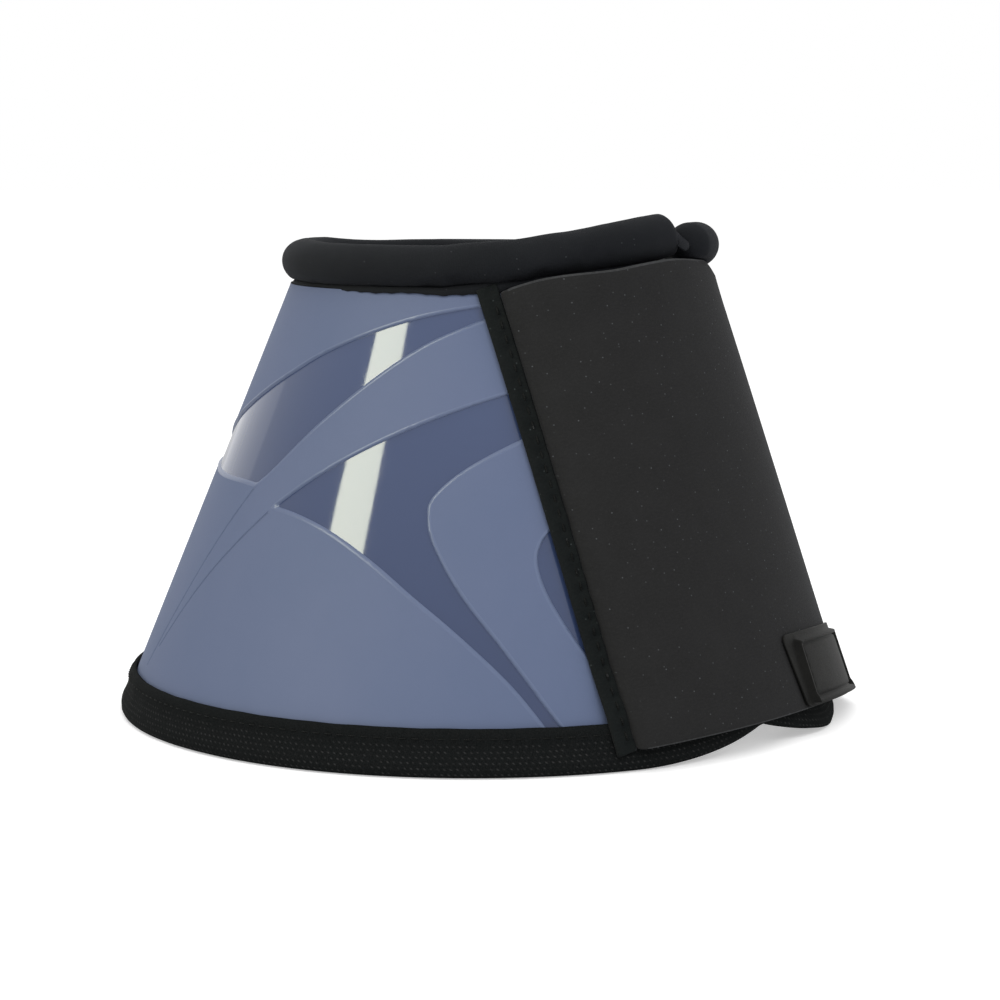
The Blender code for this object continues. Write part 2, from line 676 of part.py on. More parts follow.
def step_over_tape(flat):
    """Share of the rim tape's thickness that cloth laid on the wall is raised by."""
    azimuth, height = cone_places(flat, CLOSURE)
    return ramp(height - rim_lift(azimuth), ROW_START + PANEL_SPACING, ROW_START)


def flap_base(flat):
    """Level of the flap's inner face: sewn down at its left edge, standing off over the closure."""
    from_edge = flat[:, 0] + half_width(flat[:, 1])
    puff = ramp(from_edge, 0, FLAP_PUFF_WIDTH)
    bulge = ramp(flat[:, 1], FLAP_TOP - FLAP_BULGE_HEIGHT, FLAP_TOP)
    stand_off = CLEARANCE + (FLAP_BASE - CLEARANCE) * np.maximum(puff, step_over_tape(flat))
    return stand_off + FLAP_TOP_BULGE * bulge * puff


def flap_outline(margin=0.0):
    """The flap's cut on the flat pattern: slightly narrower at the top, with a hollow top edge."""
    bottom, top = FLAP_BOTTOM + margin, FLAP_TOP - margin
    low, high = float(half_width(bottom)) - margin, float(half_width(top)) - margin
    outline = rounded([(-low, bottom), (low, bottom), (high, top), (-high, top)], FLAP_CORNER)
    outline = cut_at_grid(outline, CLOSURE, PANEL_SPACING)
    dip = FLAP_TOP_DIP * np.clip(1 - (outline[:, 0] / high) ** 2, 0, 1)
    outline[:, 1] -= dip * ramp(outline[:, 1], bottom, top)
    return outline


def hinge_line():
    """Two world points on the fold along the flap's sewn edge."""
    ends = []
    for y in (FLAP_BOTTOM, FLAP_TOP):
        flat = np.array([-float(half_width(y)), y])
        azimuth, height = cone_places(flat, CLOSURE)
        level = CLEARANCE + FLAP_LINING_THICKNESS + CLEARANCE + FLAP_THICKNESS + HINGE_LIFT
        ends.append(cone_points(azimuth, height, level))
    return ends


def hinge_empty():
    """The empty that carries the flap, on the fold and with its Z along it."""
    low, high = (Vector(end) for end in hinge_line())
    pivot = bpy.data.objects.new("flap_hinge", None)
    bpy.context.scene.collection.objects.link(pivot)
    pivot.location = (low + high) / 2
    return pivot


def closure_flap(cloth, backing, hooks, pivot):
    """The flap's outer cloth, its lining and the hook panel that grips the loop panel."""
    face = FLAP_LINING_THICKNESS + CLEARANCE

    def cloth_levels(flat):
        base = flap_base(flat) + face
        return base, base + FLAP_THICKNESS

    def lining_levels(flat):
        base = flap_base(flat)
        return base, base + FLAP_LINING_THICKNESS

    def hook_levels(flat):
        base = flap_base(flat) - CLEARANCE
        return np.maximum(base - HOOK_THICKNESS, CLEARANCE), base

    panel("closure_flap", flap_outline(), cloth_levels, cloth, CLOSURE, PANEL_SPACING, (), pivot)
    outline = flap_outline(FLAP_LINING_MARGIN)
    panel("flap_lining", outline, lining_levels, backing, CLOSURE, PANEL_SPACING, (), pivot)
    low = float(shell_edge(FLAP_BOTTOM)) - HOOK_MARGIN / 2
    reach = APEX_REACH - (TAPE_OUTER_HEIGHT + HOOK_MARGIN / 2) / math.cos(BETA)
    bottom = APEX_REACH - math.sqrt(reach**2 - low**2)
    top = FLAP_TOP - FLAP_TOP_DIP - 2 * HOOK_MARGIN
    high = float(shell_edge(top)) - HOOK_MARGIN / 2
    corners = [(HOOK_INNER_EDGE, bottom), (low, bottom), (high, top), (HOOK_INNER_EDGE, top)]
    outline = rounded(corners, HOOK_CORNER)
    panel("flap_hook_panel", outline, hook_levels, hooks, CLOSURE, PANEL_SPACING, (), pivot)


def seam_strip(material):
    """The stitched strip that holds the flap's edge to the shell, stepping up over the rim tape."""
    bottom, top = FLAP_BOTTOM, FLAP_TOP - FLAP_CORNER
    corners = []
    for y in (bottom, top):
        edge = -float(half_width(y)) - CLEARANCE
        corners.append(((edge - STRIP_WIDTH, y), (edge, y)))
    outline = np.array([corners[0][0], corners[0][1], corners[1][1], corners[1][0]])

    def levels(flat):
        base = CLEARANCE + (FLAP_BASE - CLEARANCE) * step_over_tape(flat)
        return base, base + STRIP_THICKNESS

    panel("flap_seam_strip", outline, levels, material, CLOSURE, STRIP_STEP_HEIGHT / 2)


def badge(material, pivot):
    """A bare moulded rubber badge with a raised border, sewn at the foot of the flap."""
    low = FLAP_BOTTOM + BADGE_FOOT
    high = low + BADGE_HEIGHT
    left, right = BADGE_LEFT, BADGE_LEFT + BADGE_WIDTH
    corners = [(left + BADGE_LEAN, low), (right + BADGE_LEAN, low), (right, high), (left, high)]
    outline = divided(rounded(corners, BADGE_CORNER), BADGE_SPACING)
    shoulder = inset(outline, BADGE_BORDER_WIDTH)
    field = inset(outline, BADGE_BORDER_WIDTH + BADGE_BORDER_STEP)

    def levels(flat):
        base = flap_base(flat) + FLAP_LINING_THICKNESS + FLAP_THICKNESS + 2 * CLEARANCE
        sunk = (distance(flat, anticlockwise(outline)) - BADGE_BORDER_WIDTH) / BADGE_BORDER_STEP
        border = BADGE_BORDER_HEIGHT * (1 - np.clip(sunk, 0, 1))
        return base, base + BADGE_THICKNESS + border

    lines = [(shoulder, True), (field, True)]
    panel("badge", outline, levels, material, CLOSURE, BADGE_SPACING, lines, pivot)


def clear_scene():
    for obj in list(bpy.data.objects):
        bpy.data.objects.remove(obj, do_unlink=True)


def main():
    clear_scene()
    shell = surface_finish("moulded_shell", (0.15, 0.18, 0.28), 0.35)
    foam_lining = surface_finish("neoprene_lining", (0.02, 0.02, 0.022), 0.85)
    tape = surface_finish("woven_tape", (0.014, 0.014, 0.015), 0.7)
    cloth = surface_finish("brushed_cloth", (0.022, 0.022, 0.024), 0.9)
    cover = surface_finish("collar_cloth", (0.02, 0.021, 0.026), 0.8)
    foam = surface_finish("collar_foam", (0.05, 0.05, 0.052), 0.95)
    loop = surface_finish("loop_cloth", (0.02, 0.02, 0.02), 0.95)
    hooks = surface_finish("hook_tape", (0.03, 0.03, 0.03), 0.6)
    rubber = surface_finish("badge_rubber", (0.02, 0.02, 0.02), 0.5)

    outer_shell(shell)
    lining(foam_lining)
    closure_facings(cloth, loop)
    rim_binding(tape)
    end_bindings(tape)
    collar(cover, foam)
    seam_strip(cloth)
    pivot = hinge_empty()
    closure_flap(cloth, foam_lining, hooks, pivot)
    badge(rubber, pivot)
    low, high = hinge_line()
    axis = (high - low) / np.linalg.norm(high - low)
    print("flap hinge at", np.round((low + high) / 2, 6), "axis", np.round(axis, 6))


main()
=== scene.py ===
"""Looks of an overreach boot, built round its frame: moulded shell, sewn cloth, tape and padding.

Every piece stands where its solid stands in the frame: metres, +Z up the boot, the closure faces
-Y, and the rim stands on z = 0. Pieces cut from sheet are laid out on the cone's flat pattern.
"""

import json
import math

import bpy
import numpy as np
from bpy.props import FloatProperty, IntProperty, PointerProperty
from mathutils import Matrix, Vector
from mathutils.geometry import delaunay_2d_cdt

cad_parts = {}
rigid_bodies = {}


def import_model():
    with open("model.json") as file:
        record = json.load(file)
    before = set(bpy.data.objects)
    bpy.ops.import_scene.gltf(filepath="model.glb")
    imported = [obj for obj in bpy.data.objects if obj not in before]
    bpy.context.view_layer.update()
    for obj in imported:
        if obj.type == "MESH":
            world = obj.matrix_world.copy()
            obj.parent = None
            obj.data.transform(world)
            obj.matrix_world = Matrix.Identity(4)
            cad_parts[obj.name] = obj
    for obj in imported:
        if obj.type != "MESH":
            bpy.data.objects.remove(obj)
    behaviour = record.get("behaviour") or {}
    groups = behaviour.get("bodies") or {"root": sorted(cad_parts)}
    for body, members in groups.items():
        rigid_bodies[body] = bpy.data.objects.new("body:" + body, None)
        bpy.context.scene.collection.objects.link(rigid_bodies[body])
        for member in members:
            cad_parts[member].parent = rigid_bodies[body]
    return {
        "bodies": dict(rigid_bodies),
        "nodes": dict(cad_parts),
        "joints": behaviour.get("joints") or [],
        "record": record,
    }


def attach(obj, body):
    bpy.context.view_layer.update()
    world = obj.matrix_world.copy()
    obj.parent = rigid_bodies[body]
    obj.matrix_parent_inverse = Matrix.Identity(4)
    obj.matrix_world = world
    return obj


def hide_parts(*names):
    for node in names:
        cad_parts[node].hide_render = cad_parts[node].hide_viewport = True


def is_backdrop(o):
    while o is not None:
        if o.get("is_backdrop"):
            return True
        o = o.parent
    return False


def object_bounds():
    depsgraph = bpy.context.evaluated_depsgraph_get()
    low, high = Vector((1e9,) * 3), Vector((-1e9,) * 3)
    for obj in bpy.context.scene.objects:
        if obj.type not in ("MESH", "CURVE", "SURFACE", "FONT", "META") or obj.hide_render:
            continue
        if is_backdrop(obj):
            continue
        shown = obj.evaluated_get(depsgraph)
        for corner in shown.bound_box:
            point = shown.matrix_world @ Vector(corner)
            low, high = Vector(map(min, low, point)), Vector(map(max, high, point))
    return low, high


bl_info = {
    "name": "Overreach boot looks",
    "version": (1, 0, 0),
    "blender": (4, 5, 0),
    "location": "View3D > Sidebar > Boot",
    "description": "Builds the shown pieces of an overreach boot round its frame",
    "category": "Object",
}

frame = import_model()
CAD_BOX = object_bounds()

# Cone of the shell's outer face, carried down to the floor
RIM_RADIUS = 0.0898
TOP_RADIUS = 0.0505
CONE_HEIGHT = 0.1069
TOP_LEAN = 0.0051
BOX_CENTRING = 0.0017
CLOSURE = 0.0
HEEL = math.pi
SLOPE = (RIM_RADIUS - TOP_RADIUS) / CONE_HEIGHT
BETA = math.atan(SLOPE)
APEX_REACH = RIM_RADIUS / math.sin(BETA)

# Wall layers
CLEARANCE = 0.0003
SHELL_THICKNESS = 0.0016
LINING_FACE = -SHELL_THICKNESS - CLEARANCE
LINING_BACK = LINING_FACE - 0.0035
WALL_BOTTOM = 0.0016

# Gap between the two ends, and how rim and collar rise towards it
GAP_AZIMUTH_RIM = math.radians(-12.5)
GAP_AZIMUTH_TOP = math.radians(-1.5)
HALF_GAP = 0.0003
END_TAPE_THICKNESS = 0.0008
END_TAPE_WIDTH = 0.0075
HALF_END = HALF_GAP + END_TAPE_THICKNESS + CLEARANCE
RIM_LIFT = 0.0052
LOOP_SIDE_LIFT = 0.0059
LIFT_START_FLAP_SIDE = math.radians(-38.0)
LIFT_START_LOOP_SIDE = math.radians(8.0)

# Padded collar
COLLAR_RADIUS = 0.0472
COLLAR_SEAT = 0.1061
ROLL_RADIUS = 0.0053
COLLAR_RISE_FLAP_SIDE = 0.0078
COLLAR_RISE_LOOP_SIDE = 0.0050
COLLAR_RISE_START = math.radians(75.0)
SIDE_RISE = 0.0011
SIDE_SPAN = np.radians((150, 195, 282, 308))
LOOP_END_SHIFT = 0.0034
LOOP_END_SPAN = np.radians((30, 75))
LOOP_END_LIFT = 0.0004
LOOP_END_BEND = 0.0007
ROLL_SIDE_LIFT = 0.0003
WALL_TOP = COLLAR_SEAT - CLEARANCE

# Tapes: round the rim, with a fuller leaf at its loop-side end, and on the two upright ends
TAPE_OUTER_HEIGHT = 0.0108
LEAF_SPAN = np.radians((36, 62))
LEAF_LEVEL = 0.0013
LEAF_FLARE = 0.0018

# Closure flap, measured on the flat pattern
FLAP_HALF_BOTTOM = 0.0592
FLAP_HALF_TOP = 0.0528
FLAP_BOTTOM = 0.0097
FLAP_TOP_DIP = 0.0028
FLAP_TOP = (COLLAR_SEAT + COLLAR_RISE_LOOP_SIDE) / math.cos(BETA) + FLAP_TOP_DIP + 0.0020
FLAP_CORNER = 0.0035
FREE_CORNER = 0.0060
SEWN_CORNER = 0.0008
FLAP_LIFT = 0.0016
FLAP_PUFF_WIDTH = 0.0120
FLAP_BULGE = 0.0012
FLAP_BULGE_HEIGHT = 0.0140
FLAP_RIGHT_LIFT = 0.0006
FLAP_BACKING_THICKNESS = 0.0010
FLAP_THICKNESS = 0.0014
STRIP_WIDTH = 0.0050
STRIP_TOP = 0.1262
STRIP_BOTTOM = FLAP_BOTTOM + 0.0026
SEAM_PLACE = 0.0033
SEAM_PITCH = 0.0037
SHELL_TUCK = 0.0065
STEP_TOP = 0.0230
STEP_FOOT = 0.0125

# Layout of the moulded curves, in thousandths of the half turn from the closure to the heel and of
# the cone's height, for a shell whose edge lies at the edge share at its rim
EDGE_SHARE = 0.189
EDGE_TAPER_SHARE = 0.365
UPPER_FIELD_SHARES = (
    (
        (325, 976), (370, 970), (470, 939), (599, 863),
        (671, 802), (759, 728), (860, 650), (925, 585),
    ),
    ((925, 585), (776, 571), (652, 566)),
    ((652, 566), (625, 610), (570, 715), (460, 866), (387, 924), (325, 957)),
)
MAIN_FIELD_SHARES = (
    ((285, 800), (332, 785), (443, 714), (543, 617), (608, 526)),
    (
        (608, 526), (564, 512), (516, 482), (464, 427), (418, 360),
        (373, 287), (324, 188), (293, 100), (279, 50),
    ),
    (
        (262, 50), (278, 101), (328, 257), (372, 374), (403, 475),
        (411, 527), (408, 567), (375, 625), (311, 687), (280, 705),
    ),
)
SMALL_FIELD_SHARES = (
    (
        (240, 545), (266, 527), (290, 487), (298, 434), (285, 352),
        (252, 237), (222, 165),
    ),
)
GROOVE_SHARES = (
    ((652, 560), (690, 442), (728, 287), (757, 150), (762, 125)),
    ((612, 516), (650, 440), (692, 341), (734, 212), (744, 175)),
)

# Share of a slope's width within which it ends, so that the line at its foot lies wholly below it
SLOPE_END = 0.96

# Places up an edge of the wall
EDGE_PLACES = 24

# Kinds of face of a sheet, which pick its material
FRONT, SUNKEN, SLOPE_FACE, EDGE, BACK = range(5)


class BootShellSettings(bpy.types.PropertyGroup):
    field_depth: FloatProperty(
        name="Field depth", description="How far the glossy fields lie below the matt face",
        default=0.00045, unit="LENGTH",
    )
    border_width: FloatProperty(
        name="Border width", description="Width of the sloping border of a field",
        default=0.0004, unit="LENGTH",
    )
    bead_height: FloatProperty(
        name="Bead height", description="How far the matt face rises beside a field's border",
        default=0.00014, unit="LENGTH",
    )
    bead_width: FloatProperty(
        name="Bead width", description="Width over which the matt face rises to that border",
        default=0.0006, unit="LENGTH",
    )
    groove_depth: FloatProperty(
        name="Groove depth", description="Depth of the thin lines that run on to the rim",
        default=0.0004, unit="LENGTH",
    )
    groove_half_width: FloatProperty(
        name="Groove half width", description="Half the width of those lines",
        default=0.0003, unit="LENGTH",
    )
    spacing: FloatProperty(
        name="Spacing", description="Distance between the shell's points away from its curves",
        default=0.0024, unit="LENGTH",
    )


class BootClothSettings(bpy.types.PropertyGroup):
    wave_height: FloatProperty(
        name="Wave height", description="How far the flap's cloth rises in its soft waves",
        default=0.00018, unit="LENGTH",
    )
    fold_radius: FloatProperty(
        name="Fold radius", description="Radius of the flap's cloth where it folds to its seam",
        default=0.0024, unit="LENGTH",
    )
    spacing: FloatProperty(
        name="Spacing", description="Distance between the points of a sheet of cloth",
        default=0.0022, unit="LENGTH",
    )
    stitch_pitch: FloatProperty(
        name="Stitch pitch", description="Distance from one stitch to the next",
        default=SEAM_PITCH, unit="LENGTH",
    )
    thread_radius: FloatProperty(
        name="Thread radius", description="Radius of the sewing thread",
        default=0.00026, unit="LENGTH",
    )


class BootCollarSettings(bpy.types.PropertyGroup):
    stations: IntProperty(
        name="Stations", description="Number of rings round the roll", default=200,
    )
    sides: IntProperty(
        name="Sides", description="Number of points in one ring of the roll", default=26,
    )
    swell_cap: FloatProperty(
        name="Swell cap", description="Furthest that the roll's cloth moves when its filling swells",
        default=0.0005, unit="LENGTH",
    )
    scallop: FloatProperty(
        name="Scallop", description="How far the hem is drawn down at each of its stitches",
        default=0.00050, unit="LENGTH",
    )
    scallop_pitch: FloatProperty(
        name="Scallop pitch", description="Distance from one of those stitches to the next",
        default=0.0044, unit="LENGTH",
    )


class BootBadgeSettings(bpy.types.PropertyGroup):
    width: FloatProperty(
        name="Width", description="Width of the badge", default=0.0500, unit="LENGTH",
    )
    height: FloatProperty(
        name="Height", description="Height of the badge", default=0.0185, unit="LENGTH",
    )
    border_height: FloatProperty(
        name="Border height", description="How far the badge's frame stands over its field",
        default=0.0006, unit="LENGTH",
    )
    flange_width: FloatProperty(
        name="Flange width", description="Width of the thin flange left of the badge's raised part",
        default=0.0052, unit="LENGTH",
    )


def cone_points(azimuth, height, level):
    """World points at an azimuth from the closure, a height and a level outside the shell's face."""
    radius = RIM_RADIUS - SLOPE * height + level / math.cos(BETA)
    centre = BOX_CENTRING - TOP_LEAN * height / CONE_HEIGHT
    x, y = radius * np.sin(azimuth), centre - radius * np.cos(azimuth)
    return np.stack([x, y, height + 0 * radius], -1)


def cone_normals(azimuth):
    """Outward normals of the leaning cone."""
    rise = SLOPE - np.cos(azimuth) * TOP_LEAN / CONE_HEIGHT
    normal = np.stack([np.sin(azimuth), -np.cos(azimuth), rise], -1)
    return normal / np.linalg.norm(normal, axis=-1)[..., None]


def flat_points(azimuth, height, middle):
    """Places on the flat pattern, whose upright middle line is the generator at the azimuth middle."""
    reach = APEX_REACH - np.asarray(height) / math.cos(BETA)
    angle = (np.asarray(azimuth) - middle) * math.sin(BETA)
    return np.stack([reach * np.sin(angle), APEX_REACH - reach * np.cos(angle)], -1)


def cone_places(flat, middle):
    """Azimuth and height of places on the flat pattern."""
    rest = APEX_REACH - flat[..., 1]
    reach = np.hypot(flat[..., 0], rest)
    azimuth = middle + np.arctan2(flat[..., 0], rest) / math.sin(BETA)
    return azimuth, (APEX_REACH - reach) * math.cos(BETA)


def ramp(value, start, end):
    """Share of the way that a value has come from start to end."""
    return np.clip((value - start) / (end - start), 0, 1)


def eased(value, start, end):
    """The same share with a soft start and end."""
    share = ramp(value, start, end)
    return share * share * (3 - 2 * share)


def bell(value, middle, width):
    """1 at the middle, falling softly to 0 on both sides."""
    return np.exp(-(((value - middle) / width) ** 2))


def turned(azimuth):
    """The same azimuth between half a turn back and half a turn on."""
    return (np.asarray(azimuth, float) + math.pi) % (2 * math.pi) - math.pi


def rim_lift(azimuth):
    """How far the rim rises off the floor towards the gap between the ends."""
    turn = turned(azimuth)
    flap_side = (turn - LIFT_START_FLAP_SIDE) / (GAP_AZIMUTH_RIM - LIFT_START_FLAP_SIDE)
    loop_side = (turn - LIFT_START_LOOP_SIDE) / (GAP_AZIMUTH_RIM - LIFT_START_LOOP_SIDE)
    share = np.where(turn < GAP_AZIMUTH_RIM, flap_side, loop_side)
    highest = np.where(turn < GAP_AZIMUTH_RIM, RIM_LIFT, LOOP_SIDE_LIFT)
    power = np.where(turn < GAP_AZIMUTH_RIM, 1.9, 1.7)
    return highest * np.clip(share, 0, 1) ** power


def side_share(azimuth):
    """1 along the side left of the flap, whose top stands a little higher, and 0 elsewhere."""
    turn = np.asarray(azimuth, float) % (2 * math.pi)
    start, full, fading, end = SIDE_SPAN
    return eased(turn, start, full) * eased(turn, end, fading)


def collar_rise(azimuth):
    """How far the collar's roll rises towards its two ends."""
    turn = turned(azimuth)
    rise = np.where(turn < GAP_AZIMUTH_TOP, COLLAR_RISE_FLAP_SIDE, COLLAR_RISE_LOOP_SIDE)
    share = np.clip(1 - np.abs(turn - GAP_AZIMUTH_TOP) / COLLAR_RISE_START, 0, 1)
    return rise * (1 - (1 - share) ** 1.35) + SIDE_RISE * side_share(azimuth)


def gap_azimuth(height):
    """Azimuth of the gap between the wall's two ends."""
    return GAP_AZIMUTH_RIM + (GAP_AZIMUTH_TOP - GAP_AZIMUTH_RIM) * height / CONE_HEIGHT


def end_azimuth(height, side, setback):
    """Azimuth of one end's edge: side is -1 at the flap and +1 at the loop panel."""
    return gap_azimuth(height) + side * setback / (RIM_RADIUS - SLOPE * height)


def half_width(y):
    """Half the flap's width at a place up the flat pattern."""
    narrowing = (FLAP_HALF_TOP - FLAP_HALF_BOTTOM) * (y - FLAP_BOTTOM) / (FLAP_TOP - FLAP_BOTTOM)
    return FLAP_HALF_BOTTOM + narrowing


def from_seam(flat):
    """How far places on the flat pattern lie to the right of the flap's sewn edge."""
    return flat[:, 0] + half_width(flat[:, 1])


def shell_edge_azimuth(height):
    """Azimuth of the shell's edge under the flap."""
    azimuth = (half_width(height) - SHELL_TUCK) / RIM_RADIUS
    for _ in range(12):
        flat = flat_points(azimuth, height, CLOSURE)
        azimuth = azimuth * (half_width(flat[1]) - SHELL_TUCK) / flat[0]
    return azimuth


def smooth_curve(points, spacing):
    """Points along a smooth curve through the given ones."""
    points = np.asarray(points, float)
    knots = np.vstack([2 * points[0] - points[1], points, 2 * points[-1] - points[-2]])
    curve = [points[0]]
    for a, b, c, d in zip(knots, knots[1:], knots[2:], knots[3:]):
        steps = max(1, math.ceil(np.linalg.norm(c - b) / spacing))
        for t in np.arange(1, steps + 1) / steps:
            square = (2 * a - 5 * b + 4 * c - d) * t**2
            cube = (3 * b - a - 3 * c + d) * t**3
            curve.append(b + ((c - a) * t + square + cube) / 2)
    return np.array(curve)


def divided(points, spacing):
    """The same closed line with no stretch longer than the spacing."""
    line = []
    for start, end in zip(points, np.roll(points, -1, axis=0)):
        steps = max(1, math.ceil(np.linalg.norm(end - start) / spacing))
        line.extend(start + (end - start) * np.arange(steps)[:, None] / steps)
    return np.array(line)


def rounded(corners, radii, steps=6):
    """A closed outline whose corners are rounded, by one radius or each by its own."""
    corners = [np.asarray(corner, float) for corner in corners]
    radii = np.broadcast_to(radii, len(corners))
    outline = []
    around = zip(corners[-1:] + corners[:-1], corners, corners[1:] + corners[:1], radii)
    for before, corner, after, radius in around:
        back = (before - corner) / np.linalg.norm(before - corner)
        ahead = (after - corner) / np.linalg.norm(after - corner)
        run = radius / math.tan(math.acos(np.clip(back @ ahead, -1, 1)) / 2)
        for t in np.arange(steps + 1) / steps:
            outline.append(corner + run * ((1 - t) ** 2 * back + t**2 * ahead))
    return np.array(outline)


def in_blocks(work, points, block=400):
    """The same work done on a few hundred points at a time."""
    parts = [work(points[i : i + block]) for i in range(0, len(points), block)]
    return np.concatenate(parts) if parts else np.zeros(0)


def inside(points, loop):
    """Which points lie inside a closed loop."""
    x0, y0 = loop[:, 0], loop[:, 1]
    x1, y1 = np.roll(x0, -1), np.roll(y0, -1)
    rise = np.where(y1 == y0, 1, y1 - y0)

    def work(some):
        x, y = some[:, 0, None], some[:, 1, None]
        crosses = (y0 > y) != (y1 > y)
        return (crosses & (x < (x1 - x0) * (y - y0) / rise + x0)).sum(axis=1) % 2 == 1

    return in_blocks(work, points)


def distance(points, line, closed=True):
    """Distance of each point from a line of stretches."""
    start = line if closed else line[:-1]
    along = (np.roll(line, -1, axis=0) if closed else line[1:]) - start
    length = np.maximum((along * along).sum(-1), 1e-18)

    def work(some):
        offset = some[:, None] - start
        share = np.clip((offset * along).sum(-1) / length, 0, 1)
        return np.linalg.norm(offset - share[..., None] * along, axis=-1).min(axis=1)

    return in_blocks(work, points)


def loop_area(loop):
    """Area within a closed loop, above 0 if it runs anticlockwise."""
    x, y = loop[:, 0], loop[:, 1]
    return (x * np.roll(y, -1) - np.roll(x, -1) * y).sum() / 2


def anticlockwise(loop):
    return loop if loop_area(loop) > 0 else loop[::-1]


def inset(loop, width):
    """A closed loop drawn in by a width, or out by a negative one, without its folded places."""
    loop = anticlockwise(loop)
    along = np.roll(loop, -1, axis=0) - np.roll(loop, 1, axis=0)
    normal = np.stack([-along[:, 1], along[:, 0]], -1) / np.linalg.norm(along, axis=1)[:, None]
    drawn = loop + width * normal
    return drawn[(inside(drawn, loop) == (width > 0)) & (distance(drawn, loop) > 0.97 * abs(width))]


def mesh_piece(name, points, faces, places, materials, kinds=None):
    """A named mesh object. places are the pattern places, in metres, of each face's corners."""
    mesh = bpy.data.meshes.new(name)
    mesh.from_pydata([tuple(point) for point in points], [], faces)
    for material in materials:
        mesh.materials.append(material)
    layer = mesh.uv_layers.new(name="pattern")
    layer.data.foreach_set("uv", np.asarray(places, float).reshape(-1))
    if kinds is not None:
        slots = np.minimum(np.asarray(kinds), len(materials) - 1).astype(np.int32)
        mesh.polygons.foreach_set("material_index", slots)
    mesh.shade_smooth()
    mesh.update()
    piece = bpy.data.objects.new(name, mesh)
    bpy.context.scene.collection.objects.link(piece)
    return piece


def triangulated(outline, loops, lines, spacing):
    """Flat points and triangles that fill an outline and follow its loops and lines."""
    points = [*outline]
    edges = [(i, (i + 1) % len(outline)) for i in range(len(outline))]
    followed = [(loop, True) for loop in loops] + [(line, False) for line in lines]
    for line, closed in followed:
        first = len(points)
        points.extend(line)
        edges.extend((first + i, first + i + 1) for i in range(len(line) - 1))
        if closed:
            edges.append((len(points) - 1, first))
    low, high = outline.min(axis=0), outline.max(axis=0)
    across = np.arange(low[0], high[0], spacing)
    up = np.arange(low[1], high[1], spacing * math.sqrt(3) / 2)
    columns, rows = np.meshgrid(across, up)
    columns[1::2] += spacing / 2
    grid = np.stack([columns.ravel(), rows.ravel()], -1)
    grid = grid[inside(grid, outline)]
    for line, closed in [(outline, True), *followed]:
        grid = grid[distance(grid, line, closed) > spacing * 0.4]
    points.extend(grid)
    flat, _, faces, *_ = delaunay_2d_cdt([Vector(p) for p in points], edges, [], 1, 1e-7)
    flat = np.array([tuple(p) for p in flat])
    faces = np.array([tuple(face) for face in faces])
    spans = flat[faces[:, 1:]] - flat[faces[:, :1]]
    turns = spans[:, 0, 0] * spans[:, 1, 1] - spans[:, 0, 1] * spans[:, 1, 0]
    faces[turns < 0] = faces[turns < 0, ::-1]
    return flat, faces


def round_off(depth, radius):
    """How far a face drops at a depth in from its edge, for an edge rounded by a radius."""
    rest = np.clip(radius - depth, 0, radius)
    return radius - np.sqrt(np.maximum(radius**2 - rest**2, 0))


def sheet_piece(
    name, outline, levels, materials, spacing, middle=CLOSURE,
    loops=(), lines=(), rounding=0.0, kinds=None,
):
    """A sheet cut on the flat pattern and wrapped round the cone, with rounded edges.

    levels gives the inner and outer level at places on the pattern, and kinds the kind of front
    face at such places. It gives the piece, the width, length and area of its flat cut, and its
    points' azimuths with its faces' kinds.
    """
    outline = anticlockwise(divided(outline, spacing * 0.7))
    loops = list(loops)
    if rounding:
        loops += [inset(outline, rounding * share) for share in (0.15, 0.5, 1.0)]
    flat, front = triangulated(outline, loops, lines, spacing)
    azimuth, height = cone_places(flat, middle)
    inner, outer = levels(flat)
    if rounding:
        drop = round_off(distance(flat, outline), rounding)
        inner, outer = inner + drop, outer - drop
    count = len(flat)
    points = np.vstack([cone_points(azimuth, height, outer), cone_points(azimuth, height, inner)])
    directed = {(int(f[i]), int(f[(i + 1) % 3])) for f in front for i in range(3)}
    border = [(a, b) for a, b in sorted(directed) if (b, a) not in directed]
    back = front[:, ::-1] + count
    faces = [tuple(map(int, f)) for f in np.vstack([front, back])]
    faces += [(b, a, a + count, b + count) for a, b in border]
    places = [flat[front].reshape(-1, 2), flat[back - count].reshape(-1, 2)]
    places += [flat[[b, a, a, b]] for a, b in border]
    face_kinds = np.full(len(faces), EDGE)
    face_kinds[: len(front)] = FRONT if kinds is None else kinds(flat[front].mean(axis=1))
    face_kinds[len(front) : 2 * len(front)] = BACK
    piece = mesh_piece(name, points, faces, np.vstack(places), materials, face_kinds)
    width, length = outline.max(axis=0) - outline.min(axis=0)
    cut = (float(width), float(length), float(loop_area(outline)))
    return piece, cut, (azimuth, face_kinds)


def swept_piece(name, stations, lengths, material):
    """A closed profile carried through stations, each a ring of world points from outward to up."""
    stations = np.asarray(stations)
    count, sides = stations.shape[:2]
    middle = stations[count // 2]
    girth = np.linalg.norm(np.roll(middle, -1, axis=0) - middle, axis=1)
    across = np.concatenate([[0], np.cumsum(girth)])
    faces, places = [], []
    for i in range(count - 1):
        for j in range(sides):
            k = (j + 1) % sides
            faces.append((i * sides + j, (i + 1) * sides + j, (i + 1) * sides + k, i * sides + k))
            places.extend([
                (lengths[i], across[j]), (lengths[i + 1], across[j]),
                (lengths[i + 1], across[j + 1]), (lengths[i], across[j + 1]),
            ])
    for ring, turn in ((0, 1), (count - 1, -1)):
        faces.append(tuple(ring * sides + j for j in range(sides))[::turn])
        places.extend((lengths[ring], across[j]) for j in range(sides))
    return mesh_piece(name, stations.reshape(-1, 3), faces, places, [material])


def carry(piece, body, slot, *nodes):
    """The piece moves with a body and stands for these solids, which are hidden. The slot is not used.
    """
    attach(piece, body)
    if nodes:
        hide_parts(*nodes)


